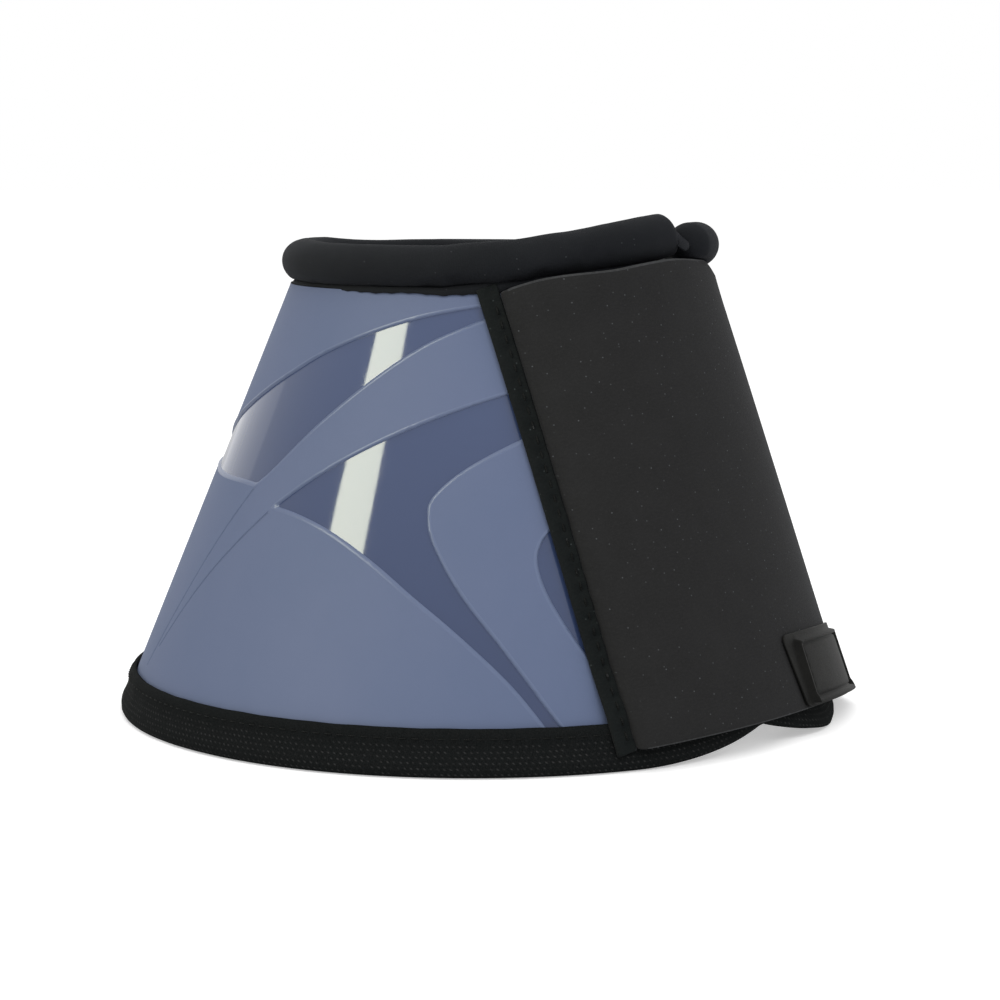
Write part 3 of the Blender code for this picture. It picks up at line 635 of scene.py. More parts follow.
def cloth_sheet(name, body, slot, node, held, rests_on, *shape, **options):
    """A sheet of cloth that is built and carried, with the width, length and area of its cut worked out.
    """
    piece, (width, length, area), _ = sheet_piece(name, *shape, **options)
    carry(piece, body, slot, node)


class Graph:
    """Short ways to add the few kinds of node that the materials use."""

    def __init__(self, name):
        self.material = bpy.data.materials.new(name)
        self.material.use_nodes = True
        self.tree = self.material.node_tree
        self.shader = self.tree.nodes["Principled BSDF"]

    def node(self, kind, inputs, output=0, **settings):
        made = self.tree.nodes.new(kind)
        for key, value in settings.items():
            setattr(made, key, value)
        for key, value in inputs.items():
            if isinstance(value, bpy.types.NodeSocket):
                self.tree.links.new(value, made.inputs[key])
            else:
                made.inputs[key].default_value = value
        return made.outputs[output]

    def place(self):
        """Places in metres in the boot's own space."""
        return self.node("ShaderNodeTexCoord", {}, "Object")

    def pattern(self):
        """Places in metres on the piece's flat pattern."""
        return self.node("ShaderNodeUVMap", {}, 0, uv_map="pattern")

    def axis(self, vector, name):
        return self.node("ShaderNodeSeparateXYZ", {0: vector}, name)

    def stretched(self, vector, x, y):
        return self.node("ShaderNodeMapping", {"Vector": vector, "Scale": (x, y, 1.0)})

    def noise(self, vector, size, detail=2.0, roughness=0.5):
        """Soft noise from 0 to 1 whose spots are about this size."""
        inputs = {"Vector": vector, "Scale": 1 / size, "Detail": detail, "Roughness": roughness}
        return self.node("ShaderNodeTexNoise", inputs, 0)

    def cells(self, vector, size, output="Distance"):
        """Cells of about this size that lie in the plane of a flat pattern."""
        inputs = {"Vector": vector, "Scale": 1 / size}
        return self.node("ShaderNodeTexVoronoi", inputs, output, voronoi_dimensions="2D")

    def math(self, operation, a, b=0.0):
        return self.node("ShaderNodeMath", {0: a, 1: b}, 0, operation=operation)

    def plus(self, a, b):
        return self.math("ADD", a, b)

    def times(self, a, b):
        return self.math("MULTIPLY", a, b)

    def sine(self, value, pitch):
        """Waves from -1 to 1 of this length."""
        return self.math("SINE", self.times(value, 2 * math.pi / pitch))

    def span(self, value, start, end, low=0.0, high=1.0):
        inputs = {0: value, 1: start, 2: end, 3: low, 4: high}
        return self.node("ShaderNodeMapRange", inputs, 0, clamp=True)

    def mix(self, share, first, second):
        """Goes from one tone to another. A tone is a link, or its red, green and blue."""
        inputs = {0: share}
        for place, tone in ((6, first), (7, second)):
            inputs[place] = tone if isinstance(tone, bpy.types.NodeSocket) else colour(*tone)
        return self.node("ShaderNodeMix", inputs, 2, data_type="RGBA")

    def lint(self, pattern, apart, radius, few):
        """Specks of lint at some of the cells of a flat pattern."""
        speck = self.span(self.cells(pattern, apart), radius, radius * 0.5)
        chosen = self.axis(self.cells(pattern, apart, "Color"), "X")
        return self.times(speck, self.span(chosen, few, 1.0))

    def bump(self, height, depth):
        inputs = {"Height": height, "Distance": depth, "Strength": 1.0}
        return self.node("ShaderNodeBump", inputs, "Normal")

    def finish(self, tint, roughness, normal=None, **sockets):
        """Sets the shader: links for what varies, plain values for what doesn't."""
        inputs = {"Base Color": tint, "Roughness": roughness}
        if normal is not None:
            inputs["Normal"] = normal
        for key, value in inputs.items():
            self.tree.links.new(value, self.shader.inputs[key])
        for key, value in sockets.items():
            self.shader.inputs[key.replace("_", " ")].default_value = value
        return self.material


def colour(red, green, blue):
    """A tone as a shader's socket takes it."""
    return (red, green, blue, 1.0)


def moulded_matt(name, base, lighter, roughness):
    """Moulded elastomer with a fine spark-eroded grain."""
    graph = Graph(name)
    place = graph.place()
    cloud = graph.noise(place, 0.030, 3.0)
    grain = graph.noise(place, 0.00022, 2.0, 0.6)
    tint = graph.mix(graph.span(cloud, 0.3, 0.7), base, lighter)
    rough = graph.plus(graph.span(grain, 0.3, 0.7, -0.04, 0.04), roughness)
    normal = graph.bump(grain, 0.00002)
    return graph.finish(tint, rough, normal, Specular_IOR_Level=0.35)


def moulded_gloss(name, base, lighter):
    """The polished face of the sunken fields, with the faintest haze and waviness; its tone is painted
    lighter towards the top as a painted reflection.
    """
    graph = Graph(name)
    place = graph.place()
    cloud = graph.times(graph.noise(place, 0.040, 2.0), 0.020)
    haze = graph.noise(place, 0.0012, 4.0, 0.7)
    # Painted reflection: the tone goes lighter towards the top of the shell.
    height = graph.plus(graph.axis(place, "Z"), cloud)
    tint = graph.mix(graph.span(height, 0.030, 0.100), base, lighter)
    rough = graph.span(haze, 0.35, 0.75, 0.045, 0.10)
    normal = graph.bump(graph.noise(place, 0.012, 1.0), 0.00002)
    return graph.finish(tint, rough, normal, Specular_IOR_Level=0.5)


def brushed_cloth(name, base, lighter, lint, specks=0.080, fuzz=0.00010, sheen=0.05):
    """Cloth with a short brushed nap, a faint mottle, fine fibres and specks of lint."""
    graph = Graph(name)
    place = graph.place()
    pattern = graph.pattern()
    mottle = graph.noise(place, 0.009, 4.0, 0.6)
    nap = graph.noise(graph.stretched(pattern, 1.0, 0.45), 0.00035, 3.0, 0.65)
    across = graph.noise(graph.stretched(pattern, 0.4, 1.0), 0.00045, 2.0, 0.6)
    fibre = graph.times(nap, across)
    tint = graph.mix(graph.span(mottle, 0.32, 0.70, 0.0, 0.35), base, lighter)
    tint = graph.mix(graph.span(fibre, 0.20, 0.42, 0.0, 0.45), tint, lighter)
    tint = graph.mix(graph.lint(pattern, 0.0026, specks, 0.66), tint, lint)
    rough = graph.span(fibre, 0.1, 0.5, 0.98, 0.86)
    return graph.finish(
        tint, rough, graph.bump(fibre, fuzz),
        Specular_IOR_Level=0.15, Sheen_Weight=sheen, Sheen_Roughness=0.45,
        Sheen_Tint=colour(0.55, 0.56, 0.60),
    )


def knitted_cloth(name, base, lighter):
    """Close smooth jersey: columns of very small slanted loops under a fine fuzz, with a little lint."""
    pitch = 0.0006
    graph = Graph(name)
    pattern = graph.pattern()
    place = graph.place()
    along, up = graph.axis(pattern, "X"), graph.axis(pattern, "Y")
    column = graph.math("ABSOLUTE", graph.sine(up, pitch))
    row = graph.sine(graph.plus(along, graph.times(column, pitch * 0.5)), pitch * 0.8)
    loops = graph.times(graph.span(row, -1.0, 1.0), graph.span(column, 0.0, 0.5))
    fuzz = graph.noise(place, 0.00030, 3.0, 0.7)
    height = graph.plus(graph.times(loops, 0.6), graph.times(fuzz, 0.5))
    mottle = graph.noise(place, 0.011, 3.0)
    tint = graph.mix(graph.span(mottle, 0.3, 0.7, 0.0, 0.5), base, lighter)
    tint = graph.mix(graph.span(height, 0.35, 0.95, 0.0, 0.25), tint, lighter)
    tint = graph.mix(graph.lint(pattern, 0.0034, 0.05, 0.75), tint, (0.06, 0.065, 0.07))
    rough = graph.span(height, 0.1, 0.9, 0.97, 0.86)
    return graph.finish(
        tint, rough, graph.bump(height, 0.00004),
        Specular_IOR_Level=0.12, Sheen_Weight=0.03, Sheen_Roughness=0.45,
        Sheen_Tint=colour(0.52, 0.55, 0.64),
    )


def woven_tape(name, base, lighter, plain_from):
    """Close tape: fine ribs across it, and slanted rows of raised picks up to a plainer hem."""
    graph = Graph(name)
    pattern = graph.pattern()
    along, across = graph.axis(pattern, "X"), graph.axis(pattern, "Y")
    wobble = graph.times(graph.noise(pattern, 0.004, 2.0), 0.0006)
    slant = graph.plus(graph.times(across, 0.8), graph.plus(along, wobble))
    rows = graph.sine(slant, 0.0015)
    picks = graph.sine(across, 0.0013)
    dots = graph.times(graph.span(rows, 0.2, 1.0), graph.span(picks, 0.1, 1.0))
    dots = graph.times(dots, graph.span(graph.noise(pattern, 0.0030, 3.0, 0.6), 0.36, 0.54))
    dots = graph.times(dots, graph.span(across, plain_from, plain_from - 0.0012))
    ribs = graph.span(graph.sine(along, 0.00045), -1.0, 1.0)
    fuzz = graph.noise(graph.place(), 0.00025, 2.0, 0.6)
    body = graph.plus(graph.times(ribs, 0.20), graph.times(fuzz, 0.35))
    height = graph.plus(body, graph.times(dots, 0.6))
    tint = graph.mix(graph.span(fuzz, 0.3, 0.8, 0.0, 0.30), base, lighter)
    tint = graph.mix(graph.times(dots, 0.8), tint, lighter)
    rough = graph.span(height, 0.1, 1.0, 0.95, 0.80)
    return graph.finish(tint, rough, graph.bump(height, 0.00012), Specular_IOR_Level=0.04)


def sewing_thread(name, base, lighter, glint_tone):
    """Twisted thread, with painted glints: a lighter tone painted at a few places as highlights."""
    graph = Graph(name)
    pattern = graph.pattern()
    slant = graph.plus(graph.axis(pattern, "X"), graph.times(graph.axis(pattern, "Y"), 0.6))
    height = graph.span(graph.sine(slant, 0.00040), -1.0, 1.0)
    # Painted highlight: a few spots along the thread are painted in a lighter tone as glints.
    glint_spots = graph.span(graph.noise(graph.place(), 0.0045, 1.0), 0.64, 0.70)
    tint = graph.mix(graph.times(glint_spots, height), graph.mix(height, base, lighter), glint_tone)
    rough = graph.span(graph.noise(pattern, 0.0006), 0.3, 0.7, 0.62, 0.80)
    return graph.finish(tint, rough, graph.bump(height, 0.00008), Specular_IOR_Level=0.12)


def hook_surface(name, base, lighter):
    """Moulded hooks in close rows."""
    graph = Graph(name)
    pattern = graph.pattern()
    along = graph.sine(graph.axis(pattern, "X"), 0.0011)
    up = graph.sine(graph.axis(pattern, "Y"), 0.0015)
    peaks = graph.times(graph.span(along, -0.2, 0.8), graph.span(up, -0.4, 0.7))
    tint = graph.mix(peaks, base, lighter)
    rough = graph.span(graph.noise(graph.place(), 0.0008), 0.3, 0.7, 0.35, 0.5)
    return graph.finish(tint, rough, graph.bump(peaks, 0.0004))


def moulded_rubber(name, base, lighter, roughness):
    """Soft moulded rubber with a faint grain and dust."""
    graph = Graph(name)
    place = graph.place()
    grain = graph.noise(place, 0.00035, 3.0, 0.6)
    dust = graph.noise(place, 0.006, 4.0, 0.65)
    tint = graph.mix(graph.span(dust, 0.4, 0.75), base, lighter)
    rough = graph.plus(graph.span(grain, 0.3, 0.7, -0.05, 0.05), roughness)
    return graph.finish(tint, rough, graph.bump(grain, 0.00003), Specular_IOR_Level=0.14)


def moulded_curve(shares, side, spacing):
    """A moulded curve of the shell, from its layout shares, on the pattern round the heel."""
    places = []
    for turn, up in np.array(shares) / 1000:
        height = up * CONE_HEIGHT
        edge = EDGE_SHARE / (1 - EDGE_TAPER_SHARE * up)
        to_heel = (1 - turn) / (1 - edge) * (math.pi - shell_edge_azimuth(height))
        places.append(flat_points(HEEL - side * to_heel, height, HEEL))
    return smooth_curve(places, spacing)


def moulded_field(borders, side, spacing):
    """A sunken field of the shell as a closed loop, from its border curves."""
    parts = [moulded_curve(shares, side, spacing) for shares in borders]
    joined = [parts[0]]
    for part in parts[1:]:
        meets = np.linalg.norm(part[0] - joined[-1][-1]) < spacing / 4
        joined.append(part[1:] if meets else part)
    return divided(np.vstack(joined), spacing * 1.6)


def end_edge(side, setback):
    """One end of the wall as azimuth and height, from its foot to its head."""
    low = WALL_BOTTOM + float(rim_lift(end_azimuth(RIM_LIFT, side, setback)))
    high = WALL_TOP + float(collar_rise(end_azimuth(WALL_TOP, side, setback)))
    heights = np.linspace(low, high, EDGE_PLACES)
    return [(end_azimuth(height, side, setback), height) for height in heights]


def shell_side_edge(side, setback=0.0):
    """The shell's edge under the flap as azimuth and height, moved towards the gap by a setback."""
    low = WALL_BOTTOM + float(rim_lift(side * shell_edge_azimuth(WALL_BOTTOM)))
    high = WALL_TOP + float(collar_rise(side * shell_edge_azimuth(WALL_TOP)))
    edge = []
    for height in np.linspace(low, high, EDGE_PLACES):
        azimuth = shell_edge_azimuth(height) - setback / (RIM_RADIUS - SLOPE * height)
        edge.append((side * azimuth, height))
    return edge


def round_heel(edge):
    """The same edge with its azimuths counted on past the heel."""
    return [(azimuth + 2 * math.pi, height) for azimuth, height in edge]


def wall_outline(middle, first, last):
    """Outline of a stretch of wall between two edges given as lists of azimuth and height."""

    def between(start, end):
        return np.linspace(start, end, max(3, math.ceil(abs(end - start) / math.radians(1.2))))[1:-1]

    foot = [(a, WALL_BOTTOM + rim_lift(a)) for a in between(first[0][0], last[0][0])]
    head = [(a, WALL_TOP + collar_rise(a)) for a in between(first[-1][0], last[-1][0])]
    loop = [*foot, *last, *head[::-1], *first[::-1]]
    return np.array([flat_points(azimuth, height, middle) for azimuth, height in loop])


def even_levels(inner, outer):
    """Levels for a sheet of even thickness."""
    return lambda flat: (np.full(len(flat), inner), np.full(len(flat), outer))


def read(items, name, kind=float, width=1):
    """One property of all a mesh's vertices, loops or faces."""
    values = np.zeros(len(items) * width, kind)
    items.foreach_get(name, values)
    return values.reshape(-1, width) if width > 1 else values


def set_shell_normals(piece, azimuths, kinds):
    """Cone normals on the shell's plain faces, so that reflections run true, and own ones elsewhere."""
    mesh = piece.data
    vertex = read(mesh.loops, "vertex_index", np.int32)
    sizes = read(mesh.polygons, "loop_total", np.int32)
    facing = read(mesh.polygons, "normal", width=3)
    area = read(mesh.polygons, "area")
    kind = np.repeat(kinds, sizes)
    weighted = np.repeat(facing * area[:, None], sizes, axis=0)
    normals = np.zeros((len(vertex), 3))
    for one in (SLOPE_FACE, EDGE, BACK):
        chosen = kind == one
        sums = np.zeros((len(mesh.vertices), 3))
        np.add.at(sums, vertex[chosen], weighted[chosen])
        sums /= np.maximum(np.linalg.norm(sums, axis=1), 1e-12)[:, None]
        normals[chosen] = sums[vertex[chosen]]
    plain = kind <= SUNKEN
    both = np.concatenate([azimuths, azimuths])
    normals[plain] = cone_normals(both[vertex[plain]])
    mesh.normals_split_custom_set([tuple(normal) for normal in normals])


class BOOT_OT_outer_shell(bpy.types.Operator):
    """Build the moulded shell with its sunken glossy fields, sloping borders and thin grooves"""

    bl_idname = "boot.outer_shell"
    bl_label = "Outer shell"

    def execute(self, context):
        settings = context.scene.boot_shell
        fine = 0.0009
        fields = [
            moulded_field(borders, side, fine)
            for side in (-1, 1)
            for borders in (UPPER_FIELD_SHARES, MAIN_FIELD_SHARES, SMALL_FIELD_SHARES)
        ]
        feet = [inset(field, settings.border_width) for field in fields]
        beads = [inset(field, -settings.bead_width) for field in fields]
        grooves = [moulded_curve(shares, side, fine) for side in (-1, 1) for shares in GROOVE_SHARES]
        rims = []
        for groove in grooves:
            along = np.gradient(groove, axis=0)
            normal = np.stack([-along[:, 1], along[:, 0]], -1) / np.linalg.norm(along, axis=1)[:, None]
            offset = settings.groove_half_width * normal
            rims.append(np.vstack([groove + offset, (groove - offset)[::-1]]))

        def levels(flat):
            outer = np.zeros(len(flat))
            drop = settings.field_depth + settings.bead_height
            for field in fields:
                away = distance(flat, field)
                fall = drop * ramp(away, 0, settings.border_width * SLOPE_END)
                bead = settings.bead_height * (1 - ramp(away, 0, settings.bead_width * SLOPE_END))
                outer += np.where(inside(flat, field), settings.bead_height - fall, bead)
            for groove in grooves:
                spread = ramp(distance(flat, groove, False), 0, settings.groove_half_width * SLOPE_END)
                outer -= settings.groove_depth * (1 - spread)
            return np.full(len(flat), -SHELL_THICKNESS), outer

        def kinds(flat):
            found = np.full(len(flat), FRONT)
            for bead, foot in zip(beads, feet):
                found[inside(flat, bead)] = SLOPE_FACE
                found[inside(flat, foot)] = SUNKEN
            for rim in rims:
                found[inside(flat, rim)] = SLOPE_FACE
            return found

        materials = [
            moulded_matt("shell_matt", (0.104, 0.137, 0.233), (0.115, 0.146, 0.243), 0.72),
            moulded_gloss("shell_gloss", (0.034, 0.053, 0.122), (0.054, 0.079, 0.164)),
            moulded_matt("shell_border", (0.112, 0.146, 0.244), (0.124, 0.158, 0.258), 0.34),
            moulded_matt("shell_edge", (0.10, 0.13, 0.22), (0.11, 0.14, 0.23), 0.60),
        ]
        outline = wall_outline(HEEL, shell_side_edge(1), round_heel(shell_side_edge(-1)))
        piece, _, (azimuth, face_kinds) = sheet_piece(
            "shell_moulding", outline, levels, materials, settings.spacing, HEEL,
            loops=fields + feet + beads + rims, lines=[groove[1:-1] for groove in grooves], kinds=kinds,
        )
        set_shell_normals(piece, azimuth, face_kinds)
        carry(piece, "boot", "moulded_shell", "outer_shell")
        return {"FINISHED"}


class BOOT_OT_wall_layers(bpy.types.Operator):
    """Build the lining and the facings of the two ends"""

    bl_idname = "boot.wall_layers"
    bl_label = "Lining and facings"

    def execute(self, context):
        spacing = context.scene.boot_cloth.spacing
        lining_cloth = knitted_cloth("lining_knit", (0.012, 0.012, 0.013), (0.026, 0.026, 0.028))
        outline = wall_outline(HEEL, end_edge(1, HALF_END), round_heel(end_edge(-1, HALF_END)))
        levels = even_levels(LINING_BACK, LINING_FACE)
        cloth_sheet(
            "lining_sheet", "boot", "neoprene_lining", "lining", "laid", "shell_moulding",
            outline, levels, [lining_cloth], spacing * 1.5, HEEL, rounding=0.0008,
        )

        facing = brushed_cloth(
            "facing_cloth", (0.010, 0.010, 0.011), (0.020, 0.020, 0.022), (0.08, 0.08, 0.09)
        )
        loops = brushed_cloth(
            "loop_pile", (0.008, 0.008, 0.009), (0.024, 0.024, 0.026), (0.09, 0.09, 0.10),
            specks=0.07, fuzz=0.00035, sheen=0.25,
        )
        left = wall_outline(CLOSURE, shell_side_edge(-1, CLEARANCE), end_edge(-1, HALF_END))
        right = wall_outline(CLOSURE, end_edge(1, HALF_END), shell_side_edge(1, CLEARANCE))
        for name, outline, cloth, slot, node in (
            ("facing_sheet", left, facing, "brushed_cloth", "facing_panel"),
            ("loop_sheet", right, loops, "loop_cloth", "loop_panel"),
        ):
            cloth_sheet(
                name, "boot", slot, node, "laid", "lining_sheet",
                outline, even_levels(-SHELL_THICKNESS, 0.0), [cloth], spacing, rounding=0.0004,
            )
        return {"FINISHED"}


def tape_profile():
    """The rim tape's profile as level and height: its outer face, foot and inner face, then back.

    The numbers are hundredths of a millimetre.
    """
    outer = (
        (40, 1075), (80, 1098), (125, 1088), (155, 1035), (160, 955),
        (145, 865), (120, 775), (98, 685), (88, 595), (92, 495),
        (103, 395), (100, 290), (78, 190), (40, 100), (-20, 35),
        (-110, 5), (-230, 0),
    )
    inner = (
        (-350, 0), (-440, 15), (-530, 65), (-600, 140), (-645, 250),
        (-670, 380), (-680, 540), (-680, 720), (-675, 860), (-660, 950),
        (-620, 985), (-575, 970),
    )
    hidden = ((-570, 700), (-570, 140), (-270, 140), (20, 140), (30, 700))
    return np.array(outer + inner + hidden) / 1e5


def leaf_share(azimuth):
    """1 along the rim's loop-side end, whose tape stands fuller at its foot, and 0 elsewhere."""
    turn = turned(azimuth)
    full, end = LEAF_SPAN
    return np.where(turn > GAP_AZIMUTH_RIM, eased(turn, end, full), 0.0)


class BOOT_OT_tapes(bpy.types.Operator):
    """Build the twill tape folded round the rim and the thin tapes on the two upright ends"""

    bl_idname = "boot.tapes"
    bl_label = "Tapes"

    def execute(self, context):
        # The end tapes' twill is darker than the rim's: painted shade, for the shade that falls in the
        # gap between the ends.
        twill = woven_tape("end_twill_painted_shade", (0.0036, 0.0042, 0.0044), (0.012, 0.012, 0.012), 1.0)
        self.rim_tape()
        for name, side, node in (
            ("end_tape_flap_side", -1, "end_binding_flap_side"),
            ("end_tape_loop_side", 1, "end_binding_loop_side"),
        ):
            self.end_tape(name, side, node, twill)
        return {"FINISHED"}

    def rim_tape(self):
        profile = tape_profile()[::-1]
        profile = np.vstack([profile[-1:], profile[:-1]])
        level, height = profile[:, 0], profile[:, 1]
        first = end_azimuth(RIM_LIFT, 1, HALF_GAP)
        last = end_azimuth(RIM_LIFT, -1, HALF_GAP) + 2 * math.pi
        azimuths = np.linspace(first, last, 300)
        hem_width = 0.0040
        outside = ramp(level, -0.0005, 0.0012)
        top = ramp(height, 0.004, TAPE_OUTER_HEIGHT)
        foot = (level > -0.0003) * ramp(height, 0.0072, 0.0050) * (height < 0.0072)
        fuller = np.clip(LEAF_LEVEL * ramp(height, -0.0002, 0.0006) - level, 0, None)
        flared = ramp(height, 0.0100, 0.0010) * (level > -0.0030)
        stations = []
        for azimuth in azimuths:
            ripple = 0.00008 * math.sin(31 * azimuth) + 0.00007 * math.sin(53 * azimuth + 1.3)
            share = float(leaf_share(azimuth))
            flare = LEAF_FLARE * share * float(bell(turned(azimuth), 0.07, 0.16))
            out = level + share * foot * fuller + flare * flared + 0.6 * ripple * outside
            up = height + rim_lift(azimuth) + 0.5 * ripple * top
            stations.append(cone_points(np.full(len(level), azimuth), up, out))
        lengths = (azimuths - first) * RIM_RADIUS
        middle = stations[len(stations) // 2]
        girth = np.linalg.norm(np.roll(middle, -1, axis=0) - middle, axis=1).sum()
        twill = woven_tape(
            "twill_tape", (0.0040, 0.0051, 0.0053), (0.040, 0.040, 0.040), float(girth) - hem_width
        )
        piece = swept_piece("rim_tape", stations, lengths, twill)
        carry(piece, "boot", "woven_tape", "rim_binding")

    def end_tape(self, name, side, node, twill):
        low = TAPE_OUTER_HEIGHT + RIM_LIFT + CLEARANCE
        high = WALL_TOP + float(collar_rise(end_azimuth(WALL_TOP, side, HALF_END)))
        near, far = HALF_END - CLEARANCE, END_TAPE_WIDTH
        outside, within = CLEARANCE, LINING_BACK - CLEARANCE
        thick = END_TAPE_THICKNESS
        spans = [(outside, far), (outside, near), (within, near), (within, far)]
        spans += [(within - thick / 2, far + thick / 4), (within - thick, far - thick / 4)]
        spans += [(within - thick, share * far) for share in (0.75, 0.5, 0.25)]
        spans += [(within - thick * 0.8, near - thick * 0.6)]
        spans += [(level, near - thick) for level in (within, -0.0030, outside)]
        spans += [(outside + thick * 0.8, near - thick * 0.6)]
        spans += [(outside + thick, share * far) for share in (0.25, 0.5, 0.75)]
        spans += [(outside + thick, far - thick / 4), (outside + thick / 2, far + thick / 4)]
        heights = np.linspace(low, high, 46)
        stations = []
        for height in heights:
            radius = RIM_RADIUS - SLOPE * height
            middle = gap_azimuth(height)
            ring = [cone_points(middle + side * span / radius, height, level) for level, span in spans]
            stations.append(np.array(ring if side < 0 else ring[::-1]))
        piece = swept_piece(name, stations, heights - low, twill)
        carry(piece, "boot", "woven_tape", node)


def loop_end_share(azimuth):
    """1 near the roll's loop-side end, which lies outside its other end, and 0 elsewhere."""
    turn = turned(azimuth)
    full, end = LOOP_END_SPAN
    return np.where(turn > GAP_AZIMUTH_TOP, eased(turn, end, full), 0.0)


def top_cut(x):
    """How far the flap's top edge is cut above a straight line: up beside its sewn corner, then down."""
    rise = 0.0010 * eased(x, -0.0560, -0.0490) - 0.0024 * eased(x, -0.0460, -0.0240)
    return rise - 0.0010 * eased(x, -0.0120, 0.0060) - 0.0032 * eased(x, 0.0060, 0.0190)


def bottom_cut(x):
    """How far the flap's bottom edge is cut above a straight line: a shallow curve, up at the seam."""
    return 0.9 * (x - 0.020) ** 2 - 0.00267


def flap_top_height(azimuth):
    """Height of the flap's top edge at an azimuth."""
    angle = turned(azimuth) * math.sin(BETA)
    y = FLAP_TOP
    for _ in range(6):
        x = (APEX_REACH - y) * np.tan(angle)
        y = FLAP_TOP + top_cut(x)
    return (APEX_REACH - (APEX_REACH - y) / np.cos(angle)) * math.cos(BETA)


def roll_frame(azimuth):
    """Centre of the collar's roll at an azimuth, with its outward, upward and onward directions."""
    step = math.radians(0.5)
    rise = float(collar_rise(azimuth + step) - collar_rise(azimuth - step))
    tilt = math.atan2(rise, 2 * step * COLLAR_RADIUS)
    seat = COLLAR_SEAT + ROLL_RADIUS
    outside = float(loop_end_share(azimuth))
    outward = np.array([math.sin(azimuth), -math.cos(azimuth), 0])
    ahead = np.array([math.cos(azimuth), math.sin(azimuth), 0])
    up = np.array([0, 0, math.cos(tilt)]) - math.sin(tilt) * ahead
    bend = float(bell(turned(azimuth), math.radians(22), math.radians(14)))
    lift = float(collar_rise(azimuth)) + (LOOP_END_LIFT + LOOP_END_BEND * bend) * outside
    lift += ROLL_SIDE_LIFT * float(side_share(azimuth))
    centre = (COLLAR_RADIUS + LOOP_END_SHIFT * outside) * outward
    centre = centre + np.array([0, BOX_CENTRING - TOP_LEAN * seat / CONE_HEIGHT, seat + lift])
    return centre, outward, up, ahead


def swollen(piece, held, cap):
    """Lets its filling swell a closed piece of cloth: held points stay, others move up to their caps."""
    frames = 20
    mesh = piece.data
    start = read(mesh.vertices, "co", width=3)
    group = piece.vertex_groups.new(name="held")
    group.add([int(i) for i in held], 1.0, "REPLACE")
    swelling = piece.modifiers.new("swelling", "CLOTH")
    swelling.settings.effector_weights.gravity = 0
    swelling.settings.use_pressure = True
    swelling.settings.uniform_pressure_force = 4
    swelling.settings.shrink_min = -0.03
    swelling.settings.vertex_group_mass = group.name
    swelling.point_cache.frame_start = 1
    swelling.point_cache.frame_end = frames
    for frame in range(1, frames + 1):
        bpy.context.scene.frame_set(frame)
    settled = piece.evaluated_get(bpy.context.evaluated_depsgraph_get())
    move = read(settled.data.vertices, "co", width=3) - start
    length = np.linalg.norm(move, axis=1)
    move *= np.minimum(1, cap / np.maximum(length, 1e-9))[:, None]
    piece.modifiers.remove(swelling)
    bpy.context.scene.frame_set(1)
    mesh.vertices.foreach_set("co", (start + move).ravel())
    mesh.update()


